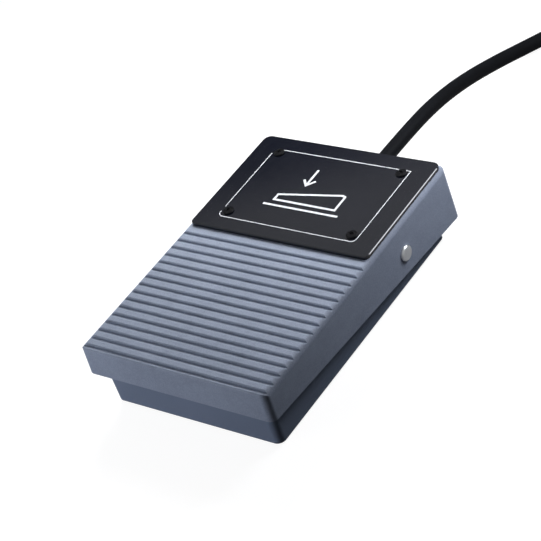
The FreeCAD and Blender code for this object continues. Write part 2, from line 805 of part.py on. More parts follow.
# Rubber mat and the steel plate that gives the switch its weight
bottom_plate_blank = body("bottom_plate_blank")
inside = recess + cell("bottom_plate_gap")
steel_plan = sketch_on(bottom_plate_blank, "steel_plan", "XY_Plane", base_bottom)
rectangle(steel_plan, (inside - base_half, base_half - inside), (base_front + inside, base_rear - inside))
pad(bottom_plate_blank, "steel_sheet", steel_plan, cell("bottom_plate_thickness"))
rounded(bottom_plate_blank, "steel_corners", cell("base_corner_radius") / 2, upright)
countersink = (cell("bottom_screw_head") - cell("bottom_screw_shank")) / 2
sinks = [cone(f"countersink_{k}", cell("bottom_screw_head") + gap * 2, cell("bottom_screw_shank") + gap * 2,
              countersink, x, y, base_bottom) for k, (x, y) in enumerate(corner_places, 1)]
sinks += [rod(f"steel_hole_{k}", cell("bottom_screw_shank") + cell("screw_hole_gap"),
              cell("bottom_plate_thickness"),
              x, y, base_bottom) for k, (x, y) in enumerate(corner_places, 1)]
bottom_plate = cut("bottom_plate", bottom_plate_blank, *sinks)

rubber_mat = body("rubber_mat")
mat_x = base_half - cell("mat_inset")
mat_y = (base_front + cell("mat_inset"), base_rear - cell("mat_inset"))
mat_plan = sketch_on(rubber_mat, "mat_plan", "XY_Plane")
rectangle(mat_plan, (-mat_x, mat_x), mat_y)
pad(rubber_mat, "mat_sheet", mat_plan, cell("mat_thickness"))
rounded(rubber_mat, "mat_corners", cell("base_corner_radius") - cell("base_corner_radius") / 3, upright)
doc.recompute()
mat_holes = sketch_on(rubber_mat, "mat_holes", "XY_Plane", cell("mat_thickness"))
for x, y in corner_places:
    circle(mat_holes, x, y, cell("mat_hole"))
pocket(rubber_mat, "mat_holes_cut", mat_holes)


def sunk_screw(number, x, y):
    """A countersunk screw driven up from below."""
    head = cone(f"corner_head_{number}", cell("bottom_screw_head"), cell("bottom_screw_shank"),
                countersink, x, y,
                base_bottom)
    shank = rod(f"corner_shank_{number}", cell("bottom_screw_shank") - gap * 2,
                cell("bottom_screw_length"), x, y,
                base_bottom)
    return joined(f"corner_screw_{number}", head, shank)


bottom_plate_screws = grouped("bottom_plate_screws",
                              *[sunk_screw(k, x, y) for k, (x, y) in enumerate(corner_places, 1)])

# Hinge: the pin is held by the treadle and turns in two flanged bushes, with a clip inside each wall
pin_blank = body("pin_blank")
pin_half = pin_out + cell("pin_end_proud")
pin_round = circle(sketch_on(pin_blank, "pin_round", "YZ_Plane"), pin_y, pin_z, cell("pin_diameter"))
pad(pin_blank, "pin_bar", pin_round, pin_half * 2, both=True)
rounded(pin_blank, "pin_ends", cell("pin_end_round"), lambda e: isinstance(e.Curve, Part.Circle))
clip_x = base_inside - cell("bush_flange_thickness") - cell("clip_thickness")
clip_inner = cell("pin_diameter") - cell("clip_groove_depth") * 2


def ring(name, outer, inner, length, x, y, z, along):
    """A plain tube."""
    outside = rod(name + "_outside", outer, length, x, y, z, along)
    return cut(name, outside, rod(name + "_inside", inner, length, x, y, z, along))


grooves = [ring(f"clip_groove_{k}", cell("pin_diameter") * 1.2, clip_inner, cell("clip_thickness"),
                x, pin_y, pin_z, "x")
           for k, x in ((1, -clip_x - cell("clip_thickness")), (2, clip_x))]
pivot_pin = cut("pivot_pin", pin_blank, *grooves)


def bush(name, side):
    """A flanged bush through one side wall of the tray, its flange on the outside."""
    bore = cell("pin_diameter") + cell("running_clearance") * 2
    length = wall_out - base_inside + cell("bush_flange_thickness") * 1.5
    start = base_inside - cell("bush_flange_thickness") / 2 if side > 0 else -base_inside \
        + cell("bush_flange_thickness") / 2 - length
    seat = wall_out + base_draft_rise * cell("bush_flange") / 2 + gap / 5
    flange_start = seat if side > 0 else -seat - cell("bush_flange_thickness")
    sleeve = rod(name + "_sleeve", cell("bush_outer"), length, start, pin_y, pin_z, "x")
    flange = rod(name + "_flange", cell("bush_flange"), cell("bush_flange_thickness"), flange_start, pin_y,
                 pin_z,
                 "x")
    bore_tool = rod(name + "_bore", bore, length + through * 2, start - through, pin_y, pin_z, "x")
    return cut(name, joined(name + "_blank", sleeve, flange), bore_tool)


left_pivot_bush = bush("left_pivot_bush", -1)
right_pivot_bush = bush("right_pivot_bush", 1)


def clip(number, x):
    """An open spring clip in the pin's groove."""
    band = cell("clip_thickness") - gap * 2
    washer = ring(f"clip_ring_{number}", cell("clip_outer"), clip_inner + gap * 2, band, x + gap, pin_y,
                  pin_z, "x")
    mouth_half = cell("clip_opening") / 2
    opening = block(f"clip_mouth_{number}", (x - through, x + through), (pin_y - mouth_half,
                                                                         pin_y + mouth_half),
                    (pin_z - cell("clip_outer"), pin_z))
    return cut(f"clip_{number}", washer, opening)


retaining_clips = grouped("retaining_clips", clip(1, -clip_x - cell("clip_thickness")), clip(2, clip_x))

# Rubber stops: two pads under the front of the treadle, two on the rear wall
down_stop_pads = grouped("down_stop_pads", *[
    rod(f"down_stop_pad_{k}", cell("stop_post"), cell("stop_pad_thickness"), x, stop_y, post_top)
    for k, x in ((1, -stop_x), (2, stop_x))])
up_half = cell("up_stop_length") / 2
up_stop_pads = grouped("up_stop_pads", *[
    block(f"up_stop_pad_{k}", (x - up_half, x + up_half), (inner_rear, base_rear),
          (cell("base_rear_wall_top"), ceiling_at(inner_rear) - cell("up_stop_gap")))
    for k, x in ((1, -stop_x_up), (2, stop_x_up))])

# Round wire, cable and coils follow paths of straight runs and arcs


def vector(x, y, z):
    return FreeCAD.Vector(*(size(value).number for value in (x, y, z)))


def biarc(start, start_way, end, end_way):
    """Two arcs that leave start along start_way, meet smoothly and reach end along end_way."""
    across = end - start
    ways = start_way + end_way
    a = 2 * (1 - start_way.dot(end_way))
    b = across.dot(ways)
    if a > 1e-9:
        reach = (-b + math.sqrt(b * b + a * across.dot(across))) / a
    else:
        reach = across.dot(across) / (2 * b)
    first = start + start_way * reach
    last = end - end_way * reach
    meet = (first + last) * 0.5
    return [bow(start, first, meet), bow(meet, last, end)]


def bow(start, corner, end):
    """The arc from start to end whose tangents meet at corner."""
    chord = (start + end) * 0.5
    half = (end - start).Length / 2
    side = (corner - start).Length
    rise = (corner - chord).Length
    if rise < 1e-7 * half:
        return Part.LineSegment(start, end).toShape()
    depth = half * (side - half) / rise
    return Part.Arc(start, chord + (corner - chord) * (depth / rise), end).toShape()


def winding(point, first, last, step):
    """Biarcs along the curve point(angle), from one angle to another in degrees."""
    count = max(1, math.ceil((last - first) / step - 1e-9))
    angles = [first + (last - first) * k / count for k in range(count + 1)]
    small = 0.01

    def way(angle):
        low, high = max(first, angle - small), min(last, angle + small)
        return (point(high) - point(low)).normalize()

    edges = []
    for here, there in zip(angles, angles[1:]):
        edges += biarc(point(here), way(here), point(there), way(there))
    return edges


def tube_along(edges, diameter):
    """One unbroken round tube along joined edges, in a pipe shell."""
    start = edges[0].Vertexes[0].Point
    way = edges[0].tangentAt(edges[0].FirstParameter)
    ring_edge = Part.Circle(start, way, diameter / 2).toShape()
    shell = Part.BRepOffsetAPI.MakePipeShell(Part.Wire(edges))
    shell.add(Part.Wire([ring_edge]))
    shell.build()
    shell.makeSolid()
    solid = shell.shape()
    length = sum(edge.Length for edge in edges)
    print(f"tube {length:.1f} mm long, volume over section by length"
          f" {solid.Volume / (math.pi * diameter ** 2 / 4 * length):.4f}")
    return solid


def formed(name, shape):
    """A piece whose shape comes from the functions above."""
    thing = doc.addObject("Part::Feature", name)
    thing.Shape = shape
    return thing


def least_gap(point, first, last, diameter, step=4):
    """The least gap between a winding's turns, measured on points more than half a turn apart."""
    count = int((last - first) / step)
    points = [point(first + (last - first) * k / count) for k in range(count + 1)]
    apart = int(200 / step)
    return min((a - b).Length for i, a in enumerate(points) for b in points[i + apart:]) - diameter


# Return spring over the two spigots, with a closed turn at each end
wire = cell("spring_wire").number
spring_low = tray_floor.number + wire / 2 + gap.number
spring_seat = ceiling_at(spring_y - cell("spring_outer") / 2) - gap * 2
spring_high = spring_seat.number - wire / 2
spring_radius = (cell("spring_outer").number - wire) / 2
turns = cell("spring_turns").number
closed = cell("spring_closed_turn_rise").number
open_rise = (spring_high - spring_low - 2 * closed) / (turns - 2)


def spring_point(angle):
    turn = angle / 360
    rise = closed * min(turn, 1) + open_rise * min(max(turn - 1, 0),
                                                   turns - 2) + closed * max(turn - turns + 1, 0)
    around = math.radians(angle)
    return vector(spring_radius * math.cos(around), spring_y.number + spring_radius * math.sin(around),
                  spring_low + rise)


print(f"spring least gap {least_gap(spring_point, 0, 360 * turns, wire):.2f} mm")
return_spring = formed("return_spring", tube_along(winding(spring_point, 0, 360 * turns, 90), wire))

# Micro-switch, soldered to the circuit board, with a hinged lever above its plunger
switch_y = half_length - cell("switch_middle_setback")
switch_ends = (switch_y - cell("switch_length") / 2, switch_y + cell("switch_length") / 2)
case_wall = cell("switch_wall")
cover_x = cell("switch_width") / 2 - case_wall
case_x = (-cell("switch_width") / 2, cover_x)
inner_x = (case_x[0] + case_wall, cover_x)
inner_y = (switch_ends[0] + case_wall, switch_ends[1] - case_wall)
lever_ratio = (pin_y - nose_y) / (lever_y - nose_y)
lever_angle = press * lever_ratio
plunger_y = switch_y + cell("plunger_offset")
plunger_half = cell("plunger_length") / 2
slot_gap = cell("plunger_clearance")
ear_x = cell("lever_width") / 2 + gap
ear_half = cell("lever_barrel") + gap
ears = [block(f"ear_{k}", span, (lever_y - ear_half, lever_y + ear_half),
              (switch_top - case_wall / 2, lever_z + ear_half))
        for k, span in ((1, (-ear_x - cell("ear_thickness"), -ear_x)),
                        (2, (ear_x, ear_x + cell("ear_thickness"))))]
mount_z = switch_bottom + cell("switch_height") * 0.28
mount_ys = [switch_y + side * cell("switch_hole_spacing") / 2 for side in (-1, 1)]
sleeves = [rod(f"case_sleeve_{k}", cell("switch_hole") + case_wall * 1.6, cover_x - case_x[0], case_x[0],
               y, mount_z,
               "x") for k, y in enumerate(mount_ys, 1)]
case_block = cut("case_hollowed",
                 block("case_block", case_x, switch_ends, (switch_bottom, switch_top)),
                 block("case_hollow", (inner_x[0], cover_x + through), inner_y,
                       (switch_bottom + case_wall, switch_top - case_wall)))
pin_half_x = cell("terminal_width") / 2
pin_half_y = cell("terminal_thickness") / 2
common_y = inner_y[0] + pin_half_y * 3
closed_y = inner_y[1] - pin_half_y - gap
open_y = switch_y
tail_low = board_z - cell("terminal_tail")


def leg_slots(prefix, z, spare):
    """Slots for the three legs through a wall between two heights."""
    return [block(f"{prefix}_{k}", (-pin_half_x - spare, pin_half_x + spare),
                  (y - pin_half_y - spare, y + pin_half_y + spare), z)
            for k, y in enumerate((common_y, open_y, closed_y), 1)]


plunger_slot = block("plunger_slot", (-cell("plunger_width") / 2 - slot_gap,
                                      cell("plunger_width") / 2 + slot_gap),
                     (plunger_y - plunger_half - slot_gap, plunger_y + plunger_half + slot_gap),
                     (switch_top - case_wall * 2, switch_top + through))
case_holes = [rod(f"case_hole_{k}", cell("switch_hole"), cell("switch_width"), case_x[0], y, mount_z, "x")
              for k, y in enumerate(mount_ys, 1)]
ear_bore = rod("ear_bore", cell("lever_barrel") + gap * 2, cell("switch_width"), case_x[0], lever_y,
               lever_z, "x")
switch_case = cut("switch_case", joined("case_solid", case_block, *ears, *sleeves), plunger_slot, ear_bore,
                  *case_holes, *leg_slots("case_slot", (switch_bottom - through,
                                                        switch_bottom + case_wall), gap))
cover_holes = [rod(f"cover_hole_{k}", cell("switch_hole"), case_wall + through * 2, cover_x - through, y,
                   mount_z,
                   "x") for k, y in enumerate(mount_ys, 1)]
switch_cover = cut("switch_cover", block("cover_sheet", (cover_x, cover_x + case_wall), switch_ends,
                                         (switch_bottom, switch_top)), *cover_holes)

# The plunger's round top follows the lever's underside, from its raised place at rest
lever_half = cell("lever_thickness") / 2
plunger_arm = lever_y - plunger_y
touch = plunger_half + cell("lever_rest_gap") / 2
crown_z = lever_z + (plunger_arm * sine(lever_angle) - lever_half - touch) / cosine(lever_angle)
plunger_travel = crown_z - (lever_z - lever_half - touch)
blade_z = switch_bottom + cell("switch_height") * 0.68
plunger_x = cell("plunger_width") / 2
switch_plunger = joined("switch_plunger",
                        block("plunger_stem", (-plunger_x, plunger_x),
                              (plunger_y - plunger_half, plunger_y + plunger_half), (blade_z, crown_z)),
                        rod("plunger_crown", plunger_half * 2, cell("plunger_width"), -plunger_x,
                            plunger_y, crown_z,
                            "x"))
print(f"lever ratio {lever_ratio.number:.6f}, plunger travel {plunger_travel.number:.5f} mm")

# The lever is made level, then turned up about its barrel to where it rests
lever = joined("lever_level",
               block("lever_strip", (-cell("lever_width") / 2, cell("lever_width") / 2),
                     (-cell("lever_front_reach"), size(0)), (-lever_half, lever_half)),
               rod("lever_pin", cell("lever_barrel"), (ear_x + cell("ear_thickness")) * 2,
                   -ear_x - cell("ear_thickness"), 0, 0, "x"))
switch_lever = grouped("switch_lever", lever)
switch_lever.Placement.Rotation = FreeCAD.Rotation(FreeCAD.Vector(-1, 0, 0), 1)
bind(switch_lever, "Placement.Rotation.Angle", lever_angle)
place(switch_lever, 0, lever_y, lever_z)

# Contacts: a blade held by the common terminal, between two fixed contacts
blade = cell("blade_thickness")
blade_root_z = blade_z - blade - gap - cell("plunger_length") * 0.7
blade_end = closed_y - pin_half_y * 3
contact_blade = body("contact_blade")
blade_sketch = sketch_on(contact_blade, "blade_profile", "YZ_Plane")
blade_top = blade_z - gap
outline(blade_sketch, [
    (common_y, blade_root_z), (common_y + blade * 10, blade_root_z), (plunger_y - blade * 4,
                                                                      blade_top - blade),
    (blade_end, blade_top - blade), (blade_end, blade_top), (plunger_y - blade * 4, blade_top),
    (common_y + blade * 10, blade_root_z + blade), (common_y, blade_root_z + blade)])
pad(contact_blade, "blade_strip", blade_sketch, plunger_x * 1.6, both=True)


def upright_leg(name, y, top):
    return block(name, (-pin_half_x, pin_half_x), (y - pin_half_y, y + pin_half_y), (tail_low, top))


common_terminal = upright_leg("common_terminal", common_y, blade_root_z)
contact = cell("terminal_thickness")
closed_terminal = joined("closed_terminal", upright_leg("closed_leg", closed_y, blade_z + contact * 2),
                         block("closed_arm", (-pin_half_x, pin_half_x), (closed_y - contact * 3, closed_y),
                               (blade_z + contact, blade_z + contact * 2)))
open_contact_z = mount_z + cell("switch_hole") / 2 + case_wall * 0.8 + contact + gap * 2
open_terminal = joined("open_terminal", upright_leg("open_leg", open_y, open_contact_z),
                       block("open_arm", (-pin_half_x, pin_half_x), (open_y - pin_half_y, blade_end),
                             (open_contact_z - contact, open_contact_z)))

# Circuit board on its four standoffs, and the parts on it
circuit_board = body("circuit_board")
board_plan = sketch_on(circuit_board, "board_plan", "XY_Plane", board_z)
rectangle(board_plan, board_x, board_y)
pad(circuit_board, "board_sheet", board_plan, cell("board_thickness"))
doc.recompute()
board_holes = sketch_on(circuit_board, "board_holes", "XY_Plane", board_top)
for x, y in board_screw_places:
    circle(board_holes, x, y, cell("board_screw_shank") + cell("screw_hole_gap"))
for y in (common_y, open_y, closed_y):
    rectangle(board_holes, (-pin_half_x - slot_gap, pin_half_x + slot_gap),
              (y - pin_half_y - slot_gap, y + pin_half_y + slot_gap))
pocket(circuit_board, "board_holes_cut", board_holes)


def pan_screw(name, x, y, seat, shank, length, head):
    """A screw with a round head that is crowned and cross-recessed, standing on a seat."""
    high = head * 0.36
    cap = rod(name + "_head", head, high, x, y, seat)
    stem = rod(name + "_shank", shank - gap * 2, length, x, y, seat - length)
    long_half = head * 0.28
    short_half = head * 0.08
    bars = [block(name + f"_recess_{k}", (x - a, x + a), (y - b, y + b), (seat + high / 2,
                                                                          seat + high + through))
            for k, (a, b) in enumerate(((long_half, short_half), (short_half, long_half)))]
    return cut(name, joined(name + "_blank", cap, stem), *bars)


board_screws = grouped("board_screws", *[
    pan_screw(f"board_screw_{k}", x, y, board_top, cell("board_screw_shank"), cell("board_screw_length"),
              cell("board_screw_head"))
    for k, (x, y) in enumerate(board_screw_places, 1)])

spread = cell("part_spread")
chip_y = switch_y - cell("chip_length") / 3
lead = cell("chip_lead_pitch") / 3
chip_half = cell("chip_width") / 2
chip_body = block("chip_body", (spread - chip_half, spread + chip_half),
                  (chip_y - cell("chip_length") / 2, chip_y + cell("chip_length") / 2),
                  (board_top, board_top + cell("chip_height")))
legs = []
for k in range(int(SIZES["chip_leads"])):
    leg_y = chip_y + cell("chip_lead_pitch") * (size(k) - (cell("chip_leads") - 1) / 2)
    legs.append(block(f"chip_leg_{k + 1}", (spread - chip_half - lead * 2, spread + chip_half + lead * 2),
                      (leg_y - lead / 2, leg_y + lead / 2), (board_top, board_top + lead)))
controller_chip = joined("controller_chip", chip_body, *legs)

crystal_y = chip_y + cell("chip_length") / 2 + cell("crystal_width") * 1.3
crystal_round = (cell("crystal_length") - cell("crystal_width")) / 2
crystal_parts = []
for label, grow, high in (("can", size(0), cell("crystal_height")), ("rim", cell("crystal_width") / 8,
                                                                    cell("crystal_height") / 7)):
    wide = cell("crystal_width") + grow * 2
    crystal_parts.append(block(f"crystal_{label}", (spread - crystal_round, spread + crystal_round),
                               (crystal_y - wide / 2, crystal_y + wide / 2), (board_top, board_top + high)))
    crystal_parts += [rod(f"crystal_{label}_end_{k}", wide, high, x, crystal_y, board_top)
                      for k, x in ((1, spread - crystal_round), (2, spread + crystal_round))]
crystal = joined("crystal", *crystal_parts)

row_x = -spread
passives = [rod("capacitor", cell("capacitor_diameter"), cell("capacitor_height"), row_x,
                board_y[0] + cell("capacitor_diameter"), board_top)]
row_y = board_y[0] + cell("capacitor_diameter") * 2
for k in range(int(SIZES["resistor_count"])):
    y = row_y + cell("resistor_pitch") * k
    passives.append(block(f"resistor_{k + 1}", (row_x - cell("resistor_length") / 2,
                                                row_x + cell("resistor_length") / 2),
                          (y, y + cell("resistor_width")), (board_top, board_top + cell("resistor_height"))))
board_passives = grouped("board_passives", *passives)

# Cable connector at the board's rear edge, open to the rear, and the plug of the four wires in it
connector_rear = board_y[1] - gap
connector_front = connector_rear - cell("connector_depth")
connector_x = cell("connector_width") / 2
connector_top = board_top + cell("connector_height")
wall = cell("connector_wall")
board_connector = cut("board_connector",
                      block("connector_block", (-connector_x, connector_x), (connector_front,
                                                                             connector_rear),
                            (board_top, connector_top)),
                      block("connector_mouth", (wall - connector_x, connector_x - wall),
                            (connector_front + wall, connector_rear + through),
                            (board_top + wall, connector_top - wall)))
plug_x = connector_x - wall - gap
plug_rear = connector_rear + cell("connector_depth") / 4
wire_plug = block("wire_plug", (-plug_x, plug_x), (connector_front + wall + gap, plug_rear),
                  (board_top + wall + gap, connector_top - wall - gap))


def route_edges(points):
    """Straight runs and the largest tangent arcs that they allow: 0.45 of the shorter run each side."""
    points = [vector(*p) for p in points]
    edges = []
    here = points[0]
    radii = []
    for before, corner, after in zip(points, points[1:], points[2:]):
        come = (corner - before).normalize()
        leave = (after - corner).normalize()
        turn = come.getAngle(leave)
        reach = 0.45 * min((corner - before).Length, (after - corner).Length)
        radii.append(reach / math.tan(turn / 2))
        first = corner - come * reach
        last = corner + leave * reach
        edges += [Part.LineSegment(here, first).toShape(), bow(first, corner, last)]
        here = last
    edges.append(Part.LineSegment(here, points[-1]).toShape())
    if radii:
        print("radii", " ".join(f"{radius:.0f}" for radius in radii))
    return edges


cable_end_y = clamp_reach[0] - gap * 10
wire_z = (board_top + connector_top) / 2
strand = cell("inner_wire")
WIRES = ("red", "white", "green", "black")
wires = {}
for k, colour in enumerate(WIRES):
    x = cell("wire_pitch") * (k - 1.5)
    end_x = strand * 0.75 * (1 if k > 1 else -1)
    end_z = cable_z + strand * 0.75 * (1 if k in (1, 2) else -1)
    middle_y = (plug_rear + cable_end_y) / 2
    wire_end_y = cable_end_y - strand / 4
    wires[colour] = formed(f"wire_{colour}", tube_along(route_edges([
        (x, plug_rear, wire_z), (x, middle_y, wire_z - strand / 4), (end_x, wire_end_y - strand * 2,
                                                                     end_z - strand),
        (end_x, wire_end_y, end_z)]), strand.number))

# Moulded strain relief in the rear wall, and the cable end that it and the clamp hold
wall_rear = base_rear + base_draft_rise * (cell("base_rear_wall_top") - base_bottom)
flange_rear = wall_rear + gap + cell("gland_flange_thickness")
gland_end = flange_rear + cell("gland_length")
relief = cone("gland_taper", cell("gland_body"), cell("gland_tip"), cell("gland_length"), 0, flange_rear,
              cable_z, "y")
gland_parts = [
    rod("gland_neck_bar", neck - gap * 2, flange_rear - inner_rear, 0, inner_rear, cable_z, "y"),
    rod("gland_outer_flange", cell("gland_flange"), cell("gland_flange_thickness"), 0, wall_rear + gap,
        cable_z, "y"),
    rod("gland_inner_flange", cell("gland_flange"), cell("gland_flange_thickness"), 0,
        inner_rear - gap - cell("gland_flange_thickness"), cable_z, "y"),
    rod("gland_inner_neck", neck - gap * 2, cell("gland_flange_thickness") + gap, 0,
        inner_rear - gap - cell("gland_flange_thickness"), cable_z, "y")]
slits = []
rib_pitch = cell("gland_rib_pitch")
rib_total = int((SIZES["gland_length"] - 4) / SIZES["gland_rib_pitch"])
for k in range(rib_total):
    start = flange_rear + rib_pitch * (k + 0.9)
    share = (start - flange_rear) / cell("gland_length")
    taper = (cell("gland_body") - cell("gland_tip")) * share
    waist = cell("gland_body") - taper - cell("gland_rib_depth") * 2
    slits.append(ring(f"gland_slit_{k + 1}", cell("gland_body") * 1.5, waist, rib_pitch * 0.45, 0, start,
                      cable_z,
                      "y"))
cable_bore = rod("gland_bore", cable + gap * 2, gland_end - inner_rear + through * 2, 0,
                 inner_rear - through,
                 cable_z, "y")
cable_gland = cut("cable_gland", joined("gland_blank", relief, *gland_parts), cable_bore, *slits)
cable_inner_end = rod("cable_inner_end", cable, gland_end - cable_end_y, 0, cable_end_y, cable_z, "y")

clamp_low = cable_z + cell("relief_gap")
clamp_thick = cell("clamp_thickness")
arch = rod("clamp_arch", cable + clamp_thick * 2, cell("clamp_width"), 0, clamp_reach[0], cable_z, "y")
below_clamp = block("below_clamp", (-saddle_half - through, saddle_half + through),
                    (clamp_reach[0] - through, clamp_reach[1] + through), (tray_floor, clamp_low))
cable_groove = rod("clamp_groove", cable + gap * 2, cell("clamp_width") + through * 2, 0,
                   clamp_reach[0] - through,
                   cable_z, "y")
clamp_bar = block("clamp_bar", (-saddle_half, saddle_half), clamp_reach, (clamp_low,
                                                                          clamp_low + clamp_thick))
clamp_bores = [rod(f"clamp_bore_{k}", cell("clamp_screw_shank") + cell("screw_hole_gap"),
                   clamp_thick + through * 2,
                   x, y, clamp_low - through) for k, (x, y) in enumerate(clamp_screw_places, 1)]
cable_clamp = cut("cable_clamp", joined("clamp_blank", arch, clamp_bar), below_clamp, cable_groove,
                  *clamp_bores)
clamp_screws = grouped("clamp_screws", *[
    pan_screw(f"clamp_screw_{k}", x, y, clamp_low + clamp_thick, cell("clamp_screw_shank"),
              cell("clamp_screw_length"), cell("clamp_screw_head"))
    for k, (x, y) in enumerate(clamp_screw_places, 1)])

# Spare cable: a tied round coil in two layers, which winds in on the floor and out again on top
coil_pitch = cell("coil_turn_pitch").number
coil_outer = cell("coil_outer").number
layer_turns = cell("coil_layer_turns").number
coil_x = cell("coil_x")
coil_y = half_length + cell("coil_y")
coil_low = cell("tie_thickness") + cell("tie_gap") + cable / 2
coil_high = coil_low + cell("coil_layer_rise")
coil_angle = layer_turns * 2 * 360


def coil_point(angle):
    turn = angle / 360
    inward = min(turn, 2 * layer_turns - turn)
    radius = coil_outer - coil_pitch * inward
    share = min(max((turn - layer_turns) * 2 + 0.5, 0), 1)
    climb = share * share * (3 - 2 * share)
    around = math.radians(angle)
    return vector(coil_x.number + radius * math.cos(around), coil_y.number + radius * math.sin(around),
                  coil_low.number + (coil_high - coil_low).number * climb)


def coil_way(angle, step):
    """The level direction of the winding at one of its ends."""
    way = (coil_point(angle + step) - coil_point(angle)) * (1 if step > 0 else -1)
    return way.normalize()


coil_start = coil_point(0)
start_way = coil_way(0, 0.01)
coil_end = coil_point(coil_angle)
end_way = coil_way(coil_angle, -0.01)
coil_in = coil_start - start_way * cable.number
coil_out = coil_end + end_way * cable.number
print(f"coil least gap {least_gap(coil_point, 0, coil_angle, cable.number):.2f} mm")
coil_edges = [Part.LineSegment(coil_in, coil_start).toShape(), *winding(coil_point, 0, coil_angle, 90),
              Part.LineSegment(coil_end, coil_out).toShape()]
cable_coil = formed("cable_coil", tube_along(coil_edges, cable.number))

# The stretch from the strain relief to the coil, drooping to the floor
cable_low = cable / 2
before_coil = coil_in - start_way * 13
cable_route = [
    (0, gland_end, cable_z), (0, 78, 11.4), (0.4, 95, 10.6),
    (1.6, 111, 8.2), (4.4, 127, 5.0), (9.8, 142, 2.8),
    (18.3, 157.5, cable_low), (28.5, 174, cable_low), (37.5, 189, cable_low),
    (before_coil.x, before_coil.y, coil_low), (coil_in.x, coil_in.y, coil_low)]
usb_cable = formed("usb_cable", tube_along(route_edges(cable_route), cable.number))

# The end of the cable, up over the coil to the plug that lies on it
plug_x_place = cell("plug_x")
plug_y_place = half_length + cell("plug_y")
plug_z = coil_high + cable / 2 + cell("relief_gap") / 2 + cell("overmould_height") / 2
tail_route = [
    (coil_out.x, coil_out.y, coil_high), (-3.8, 181.9, 8.6), (5.4, 179.6, 9.9), (14.95, 180.4, 12.0),
    (23.7, 184.3, 13.9), (30.8, 190.8, 14.9), (35.3, 199.3, plug_z), (36.9, 208.8, plug_z),
    (35.5, 218.3, plug_z), (plug_x_place, plug_y_place, plug_z)]
cable_tail = formed("cable_tail", tube_along(route_edges(tail_route), cable.number))

# The strap round the coil
tie_x = coil_x
inner_reach = coil_outer - coil_pitch * layer_turns - cable / 2
bow_in = cell("tie_width") * cell("tie_width") / (8 * inner_reach)
tie_near = tie_x - inner_reach + bow_in + cell("tie_gap")
tie_far = tie_x - cell("coil_outer") - cable / 2 - cell("tie_gap")
tie_side = (coil_y - cell("tie_width") / 2, coil_y + cell("tie_width") / 2)
tie_top = coil_high + cable / 2 + cell("tie_gap")
tie_skin = cell("tie_thickness")
cable_tie = cut("cable_tie", block("tie_outside", (tie_far - tie_skin, tie_near + tie_skin), tie_side,
                                   (size(0), tie_top + tie_skin)),
                block("tie_inside", (tie_far, tie_near), (tie_side[0] - through, tie_side[1] + through),
                      (tie_skin, tie_top)))


def on_plug(thing):
    """Stands a piece made along +X from the plug's rear end where the plug lies on the coil."""
    thing.Placement.Rotation = FreeCAD.Rotation(FreeCAD.Vector(0, 0, 1), 1)
    bind(thing, "Placement.Rotation.Angle", cell("plug_heading"))
    return place(thing, plug_x_place, plug_y_place, plug_z)


# USB plug: moulded grip, folded steel shell, plastic tongue and its four contacts
grip_start = cell("plug_neck_length")
grip_end = grip_start + cell("overmould_length")
grip = body("grip")
grip_section = rectangle(sketch_on(grip, "grip_section", "YZ_Plane", grip_start),
                         (-cell("overmould_width") / 2, cell("overmould_width") / 2),
                         (-cell("overmould_height") / 2, cell("overmould_height") / 2))
pad(grip, "grip_block", grip_section, cell("overmould_length"))
rounded(grip, "grip_edges", cell("overmould_corner"),
        lambda e: abs(e.Vertexes[1].X - e.Vertexes[0].X) > 0.9 * e.Length)
rounded(grip, "grip_ends", cell("overmould_corner") / 2,
        lambda e: (abs(e.Vertexes[-1].X - e.Vertexes[0].X) < 0.01 * e.Length
                   and e.CenterOfMass.x < grip_end.number - 1))
neck_cone = cone("plug_neck_cone", cell("plug_neck"), cell("plug_neck") * 1.15,
                 cell("plug_neck_length") + 1, 0, 0, 0,
                 "x")
plug_overmould = on_plug(joined("plug_overmould", grip, neck_cone))

shell_wall = cell("shell_wall")
shell_y = cell("shell_width") / 2
shell_z = cell("shell_height") / 2
shell_end = grip_end + cell("shell_length")
window = cell("shell_window")
windows = [block(f"shell_window_{k}", (shell_end - window * 2.6, shell_end - window * 1.6),
                 (y - window / 2, y + window / 2), (-shell_z - through, shell_z + through))
           for k, y in ((1, -shell_y / 2), (2, shell_y / 2))]
plug_shell = on_plug(cut("plug_shell",
                         block("shell_block", (grip_end, shell_end), (-shell_y, shell_y), (-shell_z,
                                                                                           shell_z)),
                         block("shell_mouth", (grip_end - through, shell_end + through),
                               (shell_wall - shell_y, shell_y - shell_wall),
                               (shell_wall - shell_z, shell_z - shell_wall)), *windows))
tongue_low = shell_wall - shell_z + gap
tongue_top = tongue_low + cell("tongue_thickness")
tongue_y = shell_y - shell_wall - gap
tongue_end = shell_end - shell_wall * 2
plug_tongue = on_plug(grouped("plug_tongue", block("tongue_block", (grip_end, tongue_end),
                                                   (-tongue_y, tongue_y), (tongue_low, tongue_top))))
contact_half = cell("contact_width") / 2
strips = []
for k in range(4):
    middle = cell("contact_pitch") * (k - 1.5)
    strips.append(block(f"contact_strip_{k + 1}", (grip_end, tongue_end - cell("contact_width")),
                        (middle - contact_half, middle + contact_half),
                        (tongue_top, tongue_top + cell("contact_thickness"))))
plug_contacts = on_plug(grouped("plug_contacts", *strips))

